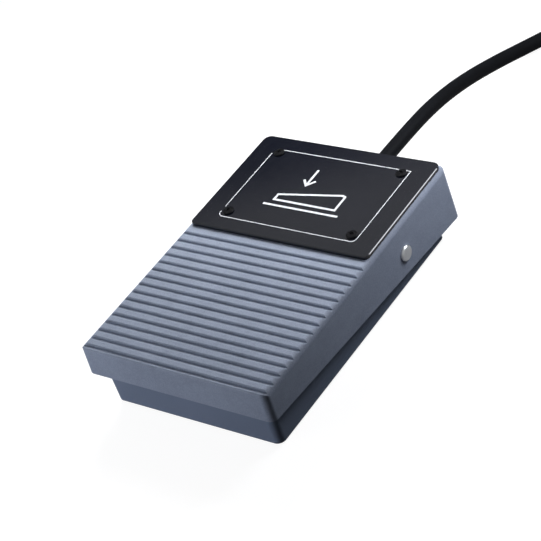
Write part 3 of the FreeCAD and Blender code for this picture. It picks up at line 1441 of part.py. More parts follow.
# Every piece is checked, then written to its own file
PIECES = [
    pedal, name_plate, plate_screws, pivot_pin, retaining_clips, left_pivot_bush, right_pivot_bush,
    base_housing,
    bottom_plate, bottom_plate_screws, rubber_mat, down_stop_pads, up_stop_pads, return_spring, switch_case,
    switch_cover, switch_plunger, switch_lever, contact_blade, common_terminal, open_terminal,
    closed_terminal,
    circuit_board, board_screws, controller_chip, crystal, board_passives, board_connector, wire_plug,
    *wires.values(), cable_gland, cable_inner_end, cable_clamp, clamp_screws, usb_cable, cable_coil,
    cable_tail,
    cable_tie, plug_overmould, plug_shell, plug_tongue, plug_contacts,
]
doc.recompute()
for thing in doc.Objects:
    if "Invalid" in thing.State or "Error" in thing.State:
        raise RuntimeError(f"{thing.Name} failed: {thing.State}")
for piece in PIECES:
    if piece.Shape.isNull() or not piece.Shape.isValid() or not piece.Shape.Solids:
        raise RuntimeError(f"{piece.Label} has no valid solid")
    piece.Shape.exportStep(f"parts/{piece.Label}.step")
    print(f"{piece.Label}: {len(piece.Shape.Solids)} solid, {piece.Shape.Volume:.1f} mm3")
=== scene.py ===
import math

import bmesh
import bpy
from mathutils import Matrix, Vector


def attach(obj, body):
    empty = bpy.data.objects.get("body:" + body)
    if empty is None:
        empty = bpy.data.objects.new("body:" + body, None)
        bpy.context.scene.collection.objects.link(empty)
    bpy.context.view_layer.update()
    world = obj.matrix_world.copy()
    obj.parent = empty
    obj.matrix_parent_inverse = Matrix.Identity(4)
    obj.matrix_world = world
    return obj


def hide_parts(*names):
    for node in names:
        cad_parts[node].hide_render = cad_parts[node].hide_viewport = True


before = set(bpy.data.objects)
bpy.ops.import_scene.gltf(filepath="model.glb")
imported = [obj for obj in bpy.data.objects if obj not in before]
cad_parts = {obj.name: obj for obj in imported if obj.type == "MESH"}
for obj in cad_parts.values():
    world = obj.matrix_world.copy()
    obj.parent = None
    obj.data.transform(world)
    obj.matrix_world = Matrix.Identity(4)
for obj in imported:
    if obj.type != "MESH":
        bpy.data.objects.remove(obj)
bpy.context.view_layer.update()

MM = 0.001
scene = bpy.context.scene
scene.view_settings.view_transform = "Standard"

# Camera: a long lens, from the front right and above, a little tilted, as the photograph was taken.
# Its place and turn were fitted to the outline of the treadle and the base.
PHOTO_AZIMUTH = 45.56
PHOTO_ELEVATION = 36.807
PHOTO_ROLL = -19.198
PHOTO_TARGET = Vector((-6.693, 6.493, 11.0)) * MM
PHOTO_DISTANCE = 532.74 * MM
SENSOR_WIDTH = 36.0
LENS = 118.7
NEAREST_SEEN = 10 * MM
around = math.radians(PHOTO_AZIMUTH)
rise = math.radians(PHOTO_ELEVATION)
roll = math.radians(PHOTO_ROLL)
back = Vector((math.sin(around) * math.cos(rise), -math.cos(around) * math.cos(rise), math.sin(rise)))
level = (-back).cross(Vector((0, 0, 1))).normalized()
upright = level.cross(-back)
right = math.cos(roll) * level + math.sin(roll) * upright
above = -math.sin(roll) * level + math.cos(roll) * upright
camera_data = bpy.data.cameras.new("photo_camera")
camera_data.sensor_width = SENSOR_WIDTH
camera_data.lens = LENS
camera_data.clip_start = NEAREST_SEEN
camera = bpy.data.objects.new("photo_camera", camera_data)
camera.matrix_world = Matrix.Translation(PHOTO_TARGET + back * PHOTO_DISTANCE) @ Matrix(
    (right, above, back)).transposed().to_4x4()
scene.collection.objects.link(camera)
scene.camera = camera

# USB cable: four thin wires in a round black PVC jacket 4.8 mm thick, extruded and nearly dull. It droops
# from the strain relief to the table, runs back, and its spare length is wound into a flat coil of two
# layers. The end of it comes up over the coil to the plug that lies on top.
CABLE_DIAMETER = 4.8
ROUTE_OUT = [
    (0, 58.221, 11.45), (0, 78, 11.4), (0.4, 95, 10.6), (1.6, 111, 8.2), (4.4, 127, 5.0), (9.8, 142, 2.8),
    (18.3, 157.5, 2.4), (28.5, 174, 2.4), (37.5, 189, 2.4), (44.38, 206.2, 3.15), (44.1, 219.2, 3.15)]
ROUTE_BACK = [
    (-11.89, 186.87, 8.45), (-3.8, 181.9, 8.6), (5.4, 179.6, 9.9), (14.95, 180.4, 12.0), (23.7, 184.3, 13.9),
    (30.8, 190.8, 14.9), (35.3, 199.3, 15.15), (36.9, 208.8, 15.15), (35.5, 218.3, 15.15),
    (31.17, 226.75, 15.15)]
COIL_CENTRE = (4.0, 224.0)
COIL_OUTER = 40.0
COIL_PITCH = 5.3
COIL_LAYER_TURNS = 13 / 3
COIL_LOW = 3.15
COIL_HIGH = 8.45
POINTS_PER_TURN = 15
LAYER_RAMP_TURNS = 0.5


def coil_points():
    """The winding's control points: inwards on the floor, then outwards on top of it."""
    points = []
    spread = 1 / math.cos(math.pi / POINTS_PER_TURN)
    for k in range(round(2 * COIL_LAYER_TURNS * POINTS_PER_TURN) + 1):
        turn = k / POINTS_PER_TURN
        radius = (COIL_OUTER - COIL_PITCH * min(turn, 2 * COIL_LAYER_TURNS - turn)) * spread
        share = min(max((turn - COIL_LAYER_TURNS) / LAYER_RAMP_TURNS + 0.5, 0), 1)
        climb = share * share * (3 - 2 * share)
        points.append((COIL_CENTRE[0] + radius * math.cos(2 * math.pi * turn),
                       COIL_CENTRE[1] + radius * math.sin(2 * math.pi * turn),
                       COIL_LOW + (COIL_HIGH - COIL_LOW) * climb))
    return points


cable_points = ROUTE_OUT + coil_points() + ROUTE_BACK
cable_curve = bpy.data.curves.new("usb_cord", "CURVE")
cable_curve.dimensions = "3D"
cable_curve.bevel_depth = 1.0
cable_curve.bevel_resolution = 5
cable_curve.use_fill_caps = True
cable_line = cable_curve.splines.new("NURBS")
cable_line.points.add(len(cable_points) - 1)
for point, (x, y, z) in zip(cable_line.points, cable_points):
    point.co = (x * MM, y * MM, z * MM, 1.0)
    point.radius = CABLE_DIAMETER / 2 * MM
cable_line.order_u = 3
cable_line.use_endpoint_u = True
cable_line.resolution_u = 6
usb_cord = bpy.data.objects.new("usb_cord", cable_curve)
scene.collection.objects.link(usb_cord)
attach(usb_cord, "base")
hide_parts("usb_cable", "cable_coil", "cable_tail")


def linear(code):
    """A colour written as sRGB hex, in the linear numbers that a shader takes."""
    parts = [int(code[i:i + 2], 16) / 255 for i in (1, 3, 5)]
    return [c / 12.92 if c <= 0.04045 else ((c + 0.055) / 1.055) ** 2.4 for c in parts] + [1.0]


def add_node(tree, kind, values=None, links=None, **settings):
    """A node with its own settings, its sockets' values and what feeds them."""
    node = tree.nodes.new(kind)
    for name, value in settings.items():
        setattr(node, name, value)
    for socket, value in (values or {}).items():
        node.inputs[socket].default_value = value
    for socket, source in (links or {}).items():
        tree.links.new(source, node.inputs[socket])
    return node


def start_material(name):
    """An empty material, its node tree and its surface socket."""
    material = bpy.data.materials.new(name)
    material.use_nodes = True
    tree = material.node_tree
    tree.nodes.clear()
    output = tree.nodes.new("ShaderNodeOutputMaterial")
    return material, tree, output.inputs["Surface"]


def dress(thing, material):
    """Gives a piece or a CAD node its finish."""
    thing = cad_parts[thing] if isinstance(thing, str) else thing
    thing.data.materials.clear()
    thing.data.materials.append(material)
    return thing


PATCH_DETAIL = 3.0
GRAIN_DETAIL = 2.0
GRAIN_STRENGTH = 0.6


def finish(name, dark, pale, patch, roughness, grain, relief, metallic=0.0, stretch=(1, 1, 1),
           specular=0.5):
    """One substance: two close tones in soft patches, and a grain (both in mm) that breaks up its gloss."""
    material, tree, surface = start_material(name)
    where = add_node(tree, "ShaderNodeTexCoord")
    drawn = add_node(tree, "ShaderNodeMapping", {"Scale": stretch}, {"Vector": where.outputs["Object"]})
    patches = add_node(tree, "ShaderNodeTexNoise", {"Scale": 1 / (patch * MM), "Detail": PATCH_DETAIL},
                       {"Vector": drawn.outputs["Vector"]})
    tone = add_node(tree, "ShaderNodeMixRGB", {"Color1": linear(dark), "Color2": linear(pale)},
                    {"Fac": patches.outputs["Fac"]})
    grains = add_node(tree, "ShaderNodeTexNoise", {"Scale": 1 / (grain * MM), "Detail": GRAIN_DETAIL},
                      {"Vector": drawn.outputs["Vector"]})
    gloss = add_node(tree, "ShaderNodeMapRange", {"To Min": roughness[0], "To Max": roughness[1]},
                     {"Value": grains.outputs["Fac"]})
    bump = add_node(tree, "ShaderNodeBump", {"Strength": GRAIN_STRENGTH, "Distance": relief * MM},
                    {"Height": grains.outputs["Fac"]})
    shader = add_node(tree, "ShaderNodeBsdfPrincipled",
                      {"Metallic": metallic, "Specular IOR Level": specular},
                      {"Base Color": tone.outputs["Color"], "Roughness": gloss.outputs["Result"],
                       "Normal": bump.outputs["Normal"]})
    tree.links.new(shader.outputs["BSDF"], surface)
    return material


# Soft PVC, extruded: black with a faint unevenness and a very fine matt grain. The short inner end of the
# cable, held by the clamp, has the same jacket.
cable_pvc = finish("extruded_black_pvc", "#0B0C0E", "#131519", 6, (0.5, 0.6), 0.35, 0.02, specular=0.1)
dress(usb_cord, cable_pvc)
dress("cable_inner_end", cable_pvc)

# Rubber mat: a sheet of black nitrile rubber, die cut and glued under the base so that it doesn't slide.
# It is dull, a little dusty grey, with a fine moulded cloth mark.
mat_rubber = finish("die_cut_nitrile_rubber", "#141414", "#202121", 9, (0.78, 0.9), 0.6, 0.05)
dress("rubber_mat", mat_rubber)

# Bottom plate: pressed sheet steel, zinc plated, that closes the base and gives it weight.
# Zinc plate on rolled steel shows long faint grain lines and a soft grey shine.
plated_steel = finish("zinc_plated_rolled_steel", "#9A9EA3", "#B9BCBF", 7, (0.3, 0.46), 0.5, 0.015, 1.0,
                      (0.12, 1, 1))
dress("bottom_plate", plated_steel)

# Small screws of plated steel: they hold the bottom plate, the circuit board and the cable clamp.
# Turned and plated, so they shine more than the sheet and have finer lines.
screw_steel = finish("plated_screw_steel", "#A9ADB0", "#C9CCCE", 2, (0.22, 0.34), 0.15, 0.006, 1.0)
for node in ("bottom_plate_screws", "board_screws", "clamp_screws"):
    dress(node, screw_steel)

# Base tray: injection moulded ABS in blue grey, coloured a step darker than the treadle; part of that
# darkness is painted shade, for the shadow it sits in under the treadle. Its walls have a fine
# spark-eroded texture from the mould, which gives an even satin surface without streaks.
base_abs_painted_shade = finish("textured_abs_painted_shade", "#6A7587", "#757F93", 14, (0.5, 0.62), 0.45, 0.03, specular=0.2)
dress("base_housing", base_abs_painted_shade)
dress("cable_clamp", base_abs_painted_shade)

# Stop pads: four small blocks of soft black rubber that end the treadle's travel quietly.
# They are dull and darker than the tray that they are glued to.
pad_rubber = finish("soft_black_rubber", "#101010", "#1A1A1A", 3, (0.8, 0.92), 0.3, 0.03)
dress("down_stop_pads", pad_rubber)
dress("up_stop_pads", pad_rubber)

# Circuit board: glass epoxy laminate with green solder mask. Copper tracks under the mask show as
# slightly paler green lines, and its surface is glossy like a coat of lacquer.
BOARD_CELL = 6.4
TRACK_SHARE = 0.03
CELL_WIDTH = 1.4
CELL_HEIGHT = 0.25
mask_green, tree, surface = start_material("green_solder_mask")
where = add_node(tree, "ShaderNodeTexCoord")
cells = add_node(tree, "ShaderNodeTexBrick",
                 {"Scale": 1 / (BOARD_CELL * MM), "Mortar Size": TRACK_SHARE, "Color1": linear("#14522F"),
                  "Color2": linear("#175B34"), "Mortar": linear("#2E8A52"), "Brick Width": CELL_WIDTH,
                  "Row Height": CELL_HEIGHT}, {"Vector": where.outputs["Object"]})
shader = add_node(tree, "ShaderNodeBsdfPrincipled",
                  {"Roughness": 0.28, "Coat Weight": 0.4, "Coat Roughness": 0.12},
                  {"Base Color": cells.outputs["Color"]})
tree.links.new(shader.outputs["BSDF"], surface)
dress("circuit_board", mask_green)

# Parts on the board: the controller in moulded black epoxy, the crystal in its drawn nickel silver can,
# and a capacitor with small chip resistors. The epoxy is dull, the can is bright.
chip_epoxy = finish("moulded_black_epoxy", "#151517", "#1E1E20", 2, (0.55, 0.7), 0.12, 0.01)
drawn_can = finish("drawn_nickel_silver_can", "#B4B7B9", "#D0D2D3", 3, (0.16, 0.26), 0.4, 0.004, 1.0,
                   (1, 0.2, 1))
dress("controller_chip", chip_epoxy)
dress("board_passives", chip_epoxy)
dress("crystal", drawn_can)

# Wire plug and its socket: nylon 66, moulded in natural cream white, with a waxy shine.
# The four crimped wires end in the plug.
nylon = finish("natural_nylon", "#D9D5C6", "#E6E3D8", 5, (0.34, 0.44), 0.3, 0.01)
dress("board_connector", nylon)
dress("wire_plug", nylon)

# The cable's four inner wires: thin PVC insulation, coloured by the usual USB code, with a soft shine.
# Each runs from the clamped end of the cable to the plug on the board.
WIRE_COLOURS = {
    "wire_red": ("#A01D18", "#B8271F"), "wire_white": ("#D8D8D2", "#E6E6E1"),
    "wire_green": ("#176B31", "#1F8040"), "wire_black": ("#111215", "#1B1C20")}
for node, (dark, pale) in WIRE_COLOURS.items():
    dress(node, finish(f"{node}_insulation", dark, pale, 3, (0.3, 0.4), 0.2, 0.006))

# Micro-switch: a glass-filled thermoplastic case with a cover, a red acetal plunger, a lever of
# stainless steel strip, a beryllium copper blade and three tinned brass terminals.
switch_plastic = finish("glass_filled_thermoplastic", "#161617", "#202022", 4, (0.4, 0.52), 0.18, 0.012)
dress("switch_case", switch_plastic)
dress("switch_cover", switch_plastic)
dress("switch_plunger", finish("red_acetal", "#8A1A15", "#9C221B", 1.5, (0.3, 0.38), 0.15, 0.006))
strip_steel = finish("stainless_strip", "#AEB1B3", "#C7C9CB", 3, (0.2, 0.3), 0.3, 0.004, 1.0, (1, 0.15, 1))
dress("switch_lever", strip_steel)
contact_alloy = finish("beryllium_copper_strip", "#B98A4E", "#CDA066", 2, (0.22, 0.32), 0.2, 0.004, 1.0)
dress("contact_blade", contact_alloy)
tinned_brass = finish("tinned_brass", "#B9B5A6", "#CCC9BC", 2, (0.28, 0.38), 0.2, 0.006, 1.0)
for node in ("common_terminal", "open_terminal", "closed_terminal"):
    dress(node, tinned_brass)

# Return spring: hard drawn music wire, closed and ground at both ends, lightly oiled. The drawing die
# leaves fine lines along a dark grey shine.
spring_wire = finish("music_wire", "#6F7275", "#8E9194", 2, (0.26, 0.36), 0.2, 0.006, 1.0)
dress("return_spring", spring_wire)

# Hinge: a ground steel pin with bright nickel plate, held by two spring steel clips, turning in two
# flanged bushes of white acetal. The pin's rounded end shows in the treadle's side.
pin_nickel = finish("bright_nickel_plate", "#C9CCCF", "#DFE1E3", 3, (0.3, 0.4), 0.25, 0.003, 1.0)
dress("pivot_pin", pin_nickel)
dress("retaining_clips",
      finish("blued_spring_steel", "#3C3F45", "#50545A", 1.5, (0.3, 0.4), 0.15, 0.004, 1.0))
bush_acetal = finish("white_acetal", "#DAD7CD", "#E7E5DD", 4, (0.36, 0.44), 0.2, 0.006)
dress("left_pivot_bush", bush_acetal)
dress("right_pivot_bush", bush_acetal)

# Treadle: injection moulded ABS in blue grey, a hollow lid with a ribbed tread. The mould's fine spark
# texture scatters the light, and its tone is mottled both in soft patches and in fine grains.
PATCH = 9.0
GRAIN = 0.4
MOULD_RELIEF = 0.03
treadle_abs, tree, surface = start_material("textured_blue_grey_abs")
where = add_node(tree, "ShaderNodeTexCoord")
patches = add_node(tree, "ShaderNodeTexNoise", {"Scale": 1 / (PATCH * MM), "Detail": 9.0, "Roughness": 0.75},
                   {"Vector": where.outputs["Object"]})
grains = add_node(tree, "ShaderNodeTexNoise", {"Scale": 1 / (GRAIN * MM), "Detail": GRAIN_DETAIL},
                  {"Vector": where.outputs["Object"]})
mottle = add_node(tree, "ShaderNodeMix", {0: 0.5},
                  {2: patches.outputs["Fac"], 3: grains.outputs["Fac"]})
tone = add_node(tree, "ShaderNodeMixRGB", {"Color1": linear("#646D7B"), "Color2": linear("#A7B0C3")},
                {"Fac": mottle.outputs[0]})
gloss = add_node(tree, "ShaderNodeMapRange", {"To Min": 0.5, "To Max": 0.66},
                 {"Value": grains.outputs["Fac"]})
bump = add_node(tree, "ShaderNodeBump", {"Strength": 0.55, "Distance": MOULD_RELIEF * MM},
                {"Height": grains.outputs["Fac"]})
shader = add_node(tree, "ShaderNodeBsdfPrincipled", {"Specular IOR Level": 0.3},
                  {"Base Color": tone.outputs["Color"], "Roughness": gloss.outputs["Result"],
                   "Normal": bump.outputs["Normal"]})
tree.links.new(shader.outputs["BSDF"], surface)
dress("pedal", treadle_abs)

# Name plate: a sheet of polished black acrylic, screwed to the rear of the tread. It is glossy enough to
# mirror the room, with a faint unevenness.
plate_acrylic = finish("polished_black_acrylic", "#0A0D16", "#10131E", 20, (0.06, 0.12), 3.0, 0.004,
                       specular=0.65)
dress("name_plate", plate_acrylic)

# The plate's print: a thin white line round it, broken where three of the screws sit, and a plain sign
# of a pedal with an arrow. Both are screen printed in matt white ink.
TREAD_FRONT_Y = -50
TREAD_FRONT = 23.2
TREAD_RISE = 0.015
PLATE_THICK = 1.1
PRINT_THICK = 0.03
PRINT_LIFT = 0.002
LEAST_MITRE = 0.5
LINE_WIDTH = 0.25
SIGN_WIDTH = 0.75
SCREW_X = 22.4
SCREW_Y = (13.505, 42.305)
BORDER_X = 24.8
BORDER_Y = (10.83, 43.9)
BORDER_ROUND = 1.6
BORDER_STEP = 15
SCREW_REACH = 1.7
REAR_LEFT_BREAK = 0.6
REAR_RIGHT_BREAK = 0.8
FRONT_LEFT_STUB = 0.5


def plate_height(y):
    """The height of the plate's upper face at y."""
    return TREAD_FRONT + TREAD_RISE * (y - TREAD_FRONT_Y) + PLATE_THICK


def finished_mesh(name, mesh):
    """A mesh data block made from a bmesh, which is freed."""
    data = bpy.data.meshes.new(name)
    mesh.to_mesh(data)
    mesh.free()
    return data


def printed_lines(name, lines, width):
    """Flat printed strokes on the plate: one strip of ink along each line of points."""
    mesh = bmesh.new()
    for points in lines:
        closed = points[0] == points[-1]
        row = points[:-1] if closed else points
        count = len(row)
        edges = []
        for k, (x, y) in enumerate(row):
            before = Vector(row[k - 1] if k or closed else row[k])
            after = Vector(row[(k + 1) % count] if k < count - 1 or closed else row[k])
            come = (Vector((x, y)) - before).normalized()
            leave = (after - Vector((x, y))).normalized()
            come = come if come.length else leave
            leave = leave if leave.length else come
            way = (come + leave).normalized()
            side = Vector((-way.y, way.x)) * (width / 2 / max(way.dot(come), LEAST_MITRE))
            corners = []
            for sign in (1, -1):
                px, py = x + sign * side.x, y + sign * side.y
                low = plate_height(py) + PRINT_LIFT
                corners += [mesh.verts.new((px * MM, py * MM, low * MM)),
                            mesh.verts.new((px * MM, py * MM, (low + PRINT_THICK) * MM))]
            edges.append(corners)
        pairs = [(edges[k], edges[(k + 1) % count]) for k in range(count if closed else count - 1)]
        for (a0, a1, a2, a3), (b0, b1, b2, b3) in pairs:
            mesh.faces.new((a1, b1, b3, a3))
            mesh.faces.new((a0, a2, b2, b0))
            mesh.faces.new((a0, b0, b1, a1))
            mesh.faces.new((a2, a3, b3, b2))
        if not closed:
            for a0, a1, a2, a3 in (edges[0], edges[-1]):
                mesh.faces.new((a0, a1, a3, a2))
    bmesh.ops.recalc_face_normals(mesh, faces=mesh.faces)
    return finished_mesh(name, mesh)


def quarter(x, y, start):
    """A rounded corner of the border, from the start angle on, a quarter turn clockwise seen from above."""
    angles = [math.radians(start - k * BORDER_STEP) for k in range(90 // BORDER_STEP + 1)]
    return [(x + BORDER_ROUND * math.cos(angle), y + BORDER_ROUND * math.sin(angle)) for angle in angles]


def add_piece(name, data, body, material):
    """A piece from its mesh, which rides on a body and has its finish."""
    piece = dress(bpy.data.objects.new(name, data), material)
    scene.collection.objects.link(piece)
    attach(piece, body)
    return piece


corner_x = BORDER_X - BORDER_ROUND
corner_y = BORDER_Y[0] + BORDER_ROUND
border = [
    [(REAR_LEFT_BREAK - SCREW_X, BORDER_Y[1]), (SCREW_X - SCREW_REACH, BORDER_Y[1])],
    [(SCREW_X + REAR_RIGHT_BREAK, BORDER_Y[1]), (BORDER_X, BORDER_Y[1])] + quarter(corner_x, corner_y, 0)
    + quarter(-corner_x, corner_y, 270) + [(-BORDER_X, corner_y + FRONT_LEFT_STUB)],
    [(-BORDER_X, SCREW_Y[0] + SCREW_REACH), (-BORDER_X, SCREW_Y[1] - REAR_LEFT_BREAK)]]
white_ink = finish("white_screen_ink", "#D6D9DE", "#E8EAED", 2, (0.5, 0.65), 0.2, 0.004)
add_piece("plate_border", printed_lines("plate_border", border, LINE_WIDTH), "treadle", white_ink)
sign = [
    [(-11, 22), (-11, 24.4), (9.8, 28.6), (11, 28.2), (11, 22), (-11, 22)],
    [(-13.5, 19.6), (13.5, 19.6)],
    [(-4.5, 37.6), (-4.5, 30.4)],
    [(-6.6, 32.6), (-4.5, 30.2), (-2.4, 32.6)]]
add_piece("plate_sign", printed_lines("plate_sign", sign, SIGN_WIDTH), "treadle", white_ink)

# Plate screws: four small black pan head screws of steel with a cross recess, in black oxide. They are
# turned, so their heads have a soft crown, and they hold the plate down at its corners.
SCREW_HEAD = 3.4
SCREW_SHANK = 1.8
SCREW_LENGTH = 3.8
SCREW_POINT = 0.3
SEAT_GAP = 0.02
RIM_BEVEL = 0.1
RIM_HEIGHT = 0.4
HEAD_HEIGHT = 0.7
CROSS_ARM = 0.55
CROSS_REACH = 2.2
CROSS_DEPTH = 0.45
CROSS_LIFT = 0.05
CROSS_TAPER = (0.45, 0.7)
CROWN_STEPS = 6
LATHE_STEPS = 40
black_oxide = finish("black_oxide_steel", "#0B0C0E", "#131417", 1.2, (0.4, 0.52), 0.12, 0.006, 0.3,
                     specular=0.3)


def turned(name, profile):
    """A closed round piece from its (radius, height) profile, both in mm, on the Z axis."""
    mesh = bmesh.new()
    rings = []
    for radius, height in profile:
        if radius:
            angles = [2 * math.pi * k / LATHE_STEPS for k in range(LATHE_STEPS)]
            rings.append([
                mesh.verts.new((radius * MM * math.cos(angle), radius * MM * math.sin(angle), height * MM))
                for angle in angles])
        else:
            rings.append([mesh.verts.new((0, 0, height * MM))] * LATHE_STEPS)
    for low, high in zip(rings, rings[1:]):
        for k in range(LATHE_STEPS):
            corners = (low[k - 1], low[k], high[k], high[k - 1])
            mesh.faces.new(list(dict.fromkeys(corners)))
    bmesh.ops.recalc_face_normals(mesh, faces=mesh.faces)
    return finished_mesh(name, mesh)


def plain_mesh(thing, name):
    """What an object's modifiers make of it, as a mesh of its own."""
    made = bpy.data.meshes.new_from_object(thing.evaluated_get(bpy.context.evaluated_depsgraph_get()))
    made.name = name
    return made


crown = [(SCREW_HEAD / 2 * math.cos(t), RIM_HEIGHT + (HEAD_HEIGHT - RIM_HEIGHT) * math.sin(t))
         for t in (math.pi / 2 * k / CROWN_STEPS for k in range(CROWN_STEPS))]
screw_profile = [
    (0, -SCREW_LENGTH), (SCREW_SHANK / 2 - SCREW_POINT, -SCREW_LENGTH),
    (SCREW_SHANK / 2, SCREW_POINT - SCREW_LENGTH), (SCREW_SHANK / 2, SEAT_GAP),
    (SCREW_HEAD / 2 - RIM_BEVEL, SEAT_GAP), (SCREW_HEAD / 2, RIM_BEVEL), *crown, (0, HEAD_HEIGHT)]
screw_blank = bpy.data.objects.new("screw_blank", turned("screw_blank", screw_profile))
cross_mesh = bmesh.new()
for turn in (0, math.pi / 2):
    made = bmesh.ops.create_cube(cross_mesh, size=1.0)
    bmesh.ops.scale(cross_mesh, vec=(CROSS_REACH * MM, CROSS_ARM * MM, 2 * CROSS_DEPTH * MM),
                    verts=made["verts"])
    for vert in made["verts"]:
        if vert.co.z < 0:
            vert.co.x *= CROSS_TAPER[0]
            vert.co.y *= CROSS_TAPER[1]
    bmesh.ops.rotate(cross_mesh, cent=(0, 0, 0), matrix=Matrix.Rotation(turn, 3, "Z"), verts=made["verts"])
bmesh.ops.translate(cross_mesh, vec=(0, 0, (HEAD_HEIGHT + CROSS_LIFT) * MM), verts=cross_mesh.verts)
cross_recess = bpy.data.objects.new("cross_recess", finished_mesh("cross_recess", cross_mesh))
for helper in (screw_blank, cross_recess):
    scene.collection.objects.link(helper)
recess = screw_blank.modifiers.new("recess", "BOOLEAN")
recess.object = cross_recess
recess.operation = "DIFFERENCE"
recess.solver = "EXACT"
recess.use_self = True
screw_model = bpy.data.objects.new("screw_model", plain_mesh(screw_blank, "screw_model"))
scene.collection.objects.link(screw_model)

tree = bpy.data.node_groups.new("plate_screw_pattern", "GeometryNodeTree")
tree.interface.new_socket("Geometry", in_out="OUTPUT", socket_type="NodeSocketGeometry")
for name, kind in (("Spacing X", "Float"), ("Spacing Y", "Float"), ("Tilt", "Vector"), ("Middle", "Vector"),
                   ("Screw", "Object"), ("Finish", "Material")):
    tree.interface.new_socket(name, in_out="INPUT", socket_type=f"NodeSocket{kind}")
given = add_node(tree, "NodeGroupInput").outputs
corners = add_node(tree, "GeometryNodeMeshGrid", {"Vertices X": 2, "Vertices Y": 2},
                   {"Size X": given["Spacing X"], "Size Y": given["Spacing Y"]})
model = add_node(tree, "GeometryNodeObjectInfo", None, {"Object": given["Screw"]})
spread = add_node(tree, "GeometryNodeInstanceOnPoints", None,
                  {"Points": corners.outputs["Mesh"], "Instance": model.outputs["Geometry"]})
set_down = add_node(tree, "GeometryNodeTransform", None,
                    {"Geometry": spread.outputs["Instances"], "Rotation": given["Tilt"],
                     "Translation": given["Middle"]})
real = add_node(tree, "GeometryNodeRealizeInstances", None, {"Geometry": set_down.outputs["Geometry"]})
dyed = add_node(tree, "GeometryNodeSetMaterial", None,
                {"Geometry": real.outputs["Geometry"], "Material": given["Finish"]})
add_node(tree, "NodeGroupOutput", None, {"Geometry": dyed.outputs["Geometry"]})


def from_nodes(name, tree, inputs):
    """The plain mesh that a tree makes, given its named inputs."""
    holder = bpy.data.objects.new(name, bpy.data.meshes.new(name))
    scene.collection.objects.link(holder)
    made = holder.modifiers.new(name, "NODES")
    made.node_group = tree
    for socket in tree.interface.items_tree:
        if socket.in_out == "INPUT" and socket.name in inputs:
            made[socket.identifier] = inputs[socket.name]
    data = plain_mesh(holder, name)
    bpy.data.objects.remove(holder)
    return data


screw_middle = (SCREW_Y[0] + SCREW_Y[1]) / 2
plate_screw_set = add_piece(
    "plate_screw_set",
    from_nodes("plate_screw_set", tree, {
        "Spacing X": 2 * SCREW_X * MM, "Spacing Y": (SCREW_Y[1] - SCREW_Y[0]) * MM,
        "Tilt": (math.atan(TREAD_RISE), 0, 0),
        "Middle": (0, screw_middle * MM, plate_height(screw_middle) * MM),
        "Screw": screw_model, "Finish": black_oxide}),
    "treadle", black_oxide)
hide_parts("plate_screws")
for helper in (screw_blank, cross_recess, screw_model):
    bpy.data.objects.remove(helper)

# Strain relief: a tapered sleeve of soft black rubber, moulded over the cable, with slits all round that
# let it bend. Its flange is held in the rear wall. Rubber is duller than the cable.
relief_rubber = finish("moulded_soft_rubber", "#0F1012", "#191A1D", 4, (0.6, 0.74), 0.3, 0.02)
dress("cable_gland", relief_rubber)

# Cable tie: a strap of black rubber round one side of the coil, plain and a little stretched.
# It has the same dull finish as the strain relief.
dress("cable_tie", relief_rubber)

# USB plug: a moulded black PVC grip with a folded shell of nickel plated steel, a white plastic tongue
# and four gold plated contacts. It lies on the coil.
grip_pvc = finish("moulded_black_pvc", "#101114", "#1A1B1F", 5, (0.42, 0.55), 0.35, 0.02)
dress("plug_overmould", grip_pvc)
dress("plug_shell",
      finish("nickel_plated_sheet", "#B9BCBF", "#D2D4D6", 4, (0.14, 0.24), 0.3, 0.004, 1.0, (1, 0.2, 1)))
dress("plug_tongue", nylon)
dress("plug_contacts",
      finish("gold_plated_contacts", "#C79A3E", "#DDB35A", 2, (0.16, 0.24), 0.2, 0.003, 1.0))

# Table: a plain sheet under the object. The camera sees it white with a faint shadow, and reflections
# show it dimmer. As a source of light it is dark grey, so little of it comes back up onto the sides.
FLOOR_WIDTH = 6.0
FLOOR_DROP = 0.1
GLOW_MIRRORED = 0.15
GLOW_SEEN = 0.92
table_mesh = bmesh.new()
bmesh.ops.create_grid(table_mesh, x_segments=1, y_segments=1, size=FLOOR_WIDTH / 2)
table = bpy.data.objects.new("table", finished_mesh("table", table_mesh))
table.location = (0, 0, -FLOOR_DROP * MM)
scene.collection.objects.link(table)
table_paper, tree, surface = start_material("matt_white_paper")
seen = add_node(tree, "ShaderNodeLightPath")
direct = add_node(tree, "ShaderNodeMath", None,
                  {0: seen.outputs["Is Camera Ray"], 1: seen.outputs["Is Glossy Ray"]}, operation="MAXIMUM")
clear = add_node(tree, "ShaderNodeMath", None,
                 {0: direct.outputs["Value"], 1: seen.outputs["Is Transmission Ray"]}, operation="MAXIMUM")
dull = add_node(tree, "ShaderNodeBsdfDiffuse", {"Color": linear("#343A43")})
white = add_node(tree, "ShaderNodeBsdfDiffuse", {"Color": linear("#808080")})
glow_level = add_node(tree, "ShaderNodeMix", {2: GLOW_MIRRORED, 3: GLOW_SEEN},
                      {0: seen.outputs["Is Camera Ray"]})
glow = add_node(tree, "ShaderNodeEmission", {"Color": linear("#FFFFFF")}, {"Strength": glow_level.outputs[0]})
lit = add_node(tree, "ShaderNodeAddShader", None, {0: white.outputs["BSDF"], 1: glow.outputs["Emission"]})
paper = add_node(tree, "ShaderNodeMixShader", None,
                 {"Fac": clear.outputs["Value"], 1: dull.outputs["BSDF"], 2: lit.outputs["Shader"]})
tree.links.new(paper.outputs["Shader"], surface)
table.data.materials.append(table_paper)

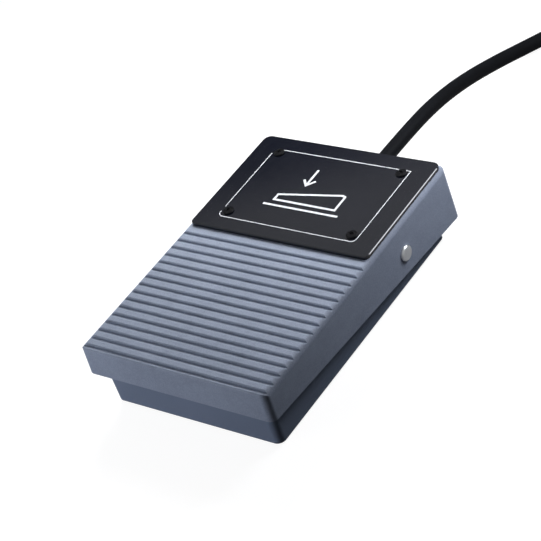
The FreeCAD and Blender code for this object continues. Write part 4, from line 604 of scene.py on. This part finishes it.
# Room: white to the camera. On the object it is a weak light, mostly from the front left, and in
# reflections it is dim with one paler side, which gives the plate its slanting sheen.
ROOM_LIGHT = 0.015
ROOM_FRONT = 0.10
REAR_RIGHT_WAY = (0.75, 0.66, 0)
SHEEN_WAY = (0.375, -0.447, 0.812)
SHEEN_EDGE = 0.003
SHEEN_DARK = 0.05
SHEEN_PALE = 0.46
room = bpy.data.worlds.new("white_room")
scene.world = room
room.use_nodes = True
tree = room.node_tree
tree.nodes.clear()
output = tree.nodes.new("ShaderNodeOutputWorld")
seen = add_node(tree, "ShaderNodeLightPath")
way = add_node(tree, "ShaderNodeTexCoord")
side = add_node(tree, "ShaderNodeVectorMath", {1: REAR_RIGHT_WAY}, {0: way.outputs["Generated"]},
                operation="DOT_PRODUCT")
even = add_node(tree, "ShaderNodeMapRange", {"From Min": 0.1, "From Max": -0.5, "To Min": ROOM_LIGHT,
                                             "To Max": ROOM_FRONT}, {"Value": side.outputs["Value"]})
sheen = add_node(tree, "ShaderNodeVectorMath", {1: SHEEN_WAY}, {0: way.outputs["Generated"]},
                 operation="DOT_PRODUCT")
card = add_node(tree, "ShaderNodeMapRange", {"From Min": -SHEEN_EDGE, "From Max": SHEEN_EDGE,
                                             "To Min": SHEEN_DARK, "To Max": SHEEN_PALE},
                {"Value": sheen.outputs["Value"]})
unlit = add_node(tree, "ShaderNodeMix", None,
                 {0: seen.outputs["Is Glossy Ray"], 2: even.outputs["Result"], 3: card.outputs["Result"]})
strength = add_node(tree, "ShaderNodeMix", {3: 1.0},
                    {0: seen.outputs["Is Camera Ray"], 2: unlit.outputs[0]})
sky = add_node(tree, "ShaderNodeBackground", {"Color": linear("#FFFFFF")}, {"Strength": strength.outputs[0]})
tree.links.new(sky.outputs["Background"], output.inputs["Surface"])

# Lamps: small soft boxes near the object, so that the light falls off over its length. One is over the
# rear left, two are in front, and the nearest is over the rear right and grazes the treadle's side. Each
# has its name, place, aim, width (in metres), watts, colour, and whether reflections show it.
LAMPS = [
    ("left_softbox", (-0.35, 0.10, 0.40), (0, 0, 0.02), 0.3, 0.14, "#FFFFFF", False),
    ("rear_left_softbox", (-0.10, 0.13, 0.16), (0, 0.02, 0.02), 0.1, 0.62, "#FFFFFF", False),
    ("front_left_softbox", (-0.25, -0.40, 0.15), (0, -0.04, 0.02), 0.25, 0.55, "#F0F4FF", True),
    ("low_front_softbox", (-0.10, -0.20, 0.012), (-0.02, -0.05, 0.01), 0.08, 0.18, "#F0F4FF", True),
    ("rear_right_softbox", (0.09, 0.10, 0.105), (0.03, 0.01, 0.02), 0.06, 0.165, "#F6F8FF", True)]
for name, place, aim, width, watts, colour, mirrored in LAMPS:
    lamp_data = bpy.data.lights.new(name, "AREA")
    lamp_data.shape = "SQUARE"
    lamp_data.size = width
    lamp_data.energy = watts
    lamp_data.color = linear(colour)[:3]
    lamp = bpy.data.objects.new(name, lamp_data)
    way = Vector(place) - Vector(aim)
    lamp.matrix_world = Matrix.Translation(place) @ way.to_track_quat("Z", "Y").to_matrix().to_4x4()
    lamp.visible_camera = False
    lamp.visible_glossy = mirrored
    scene.collection.objects.link(lamp)
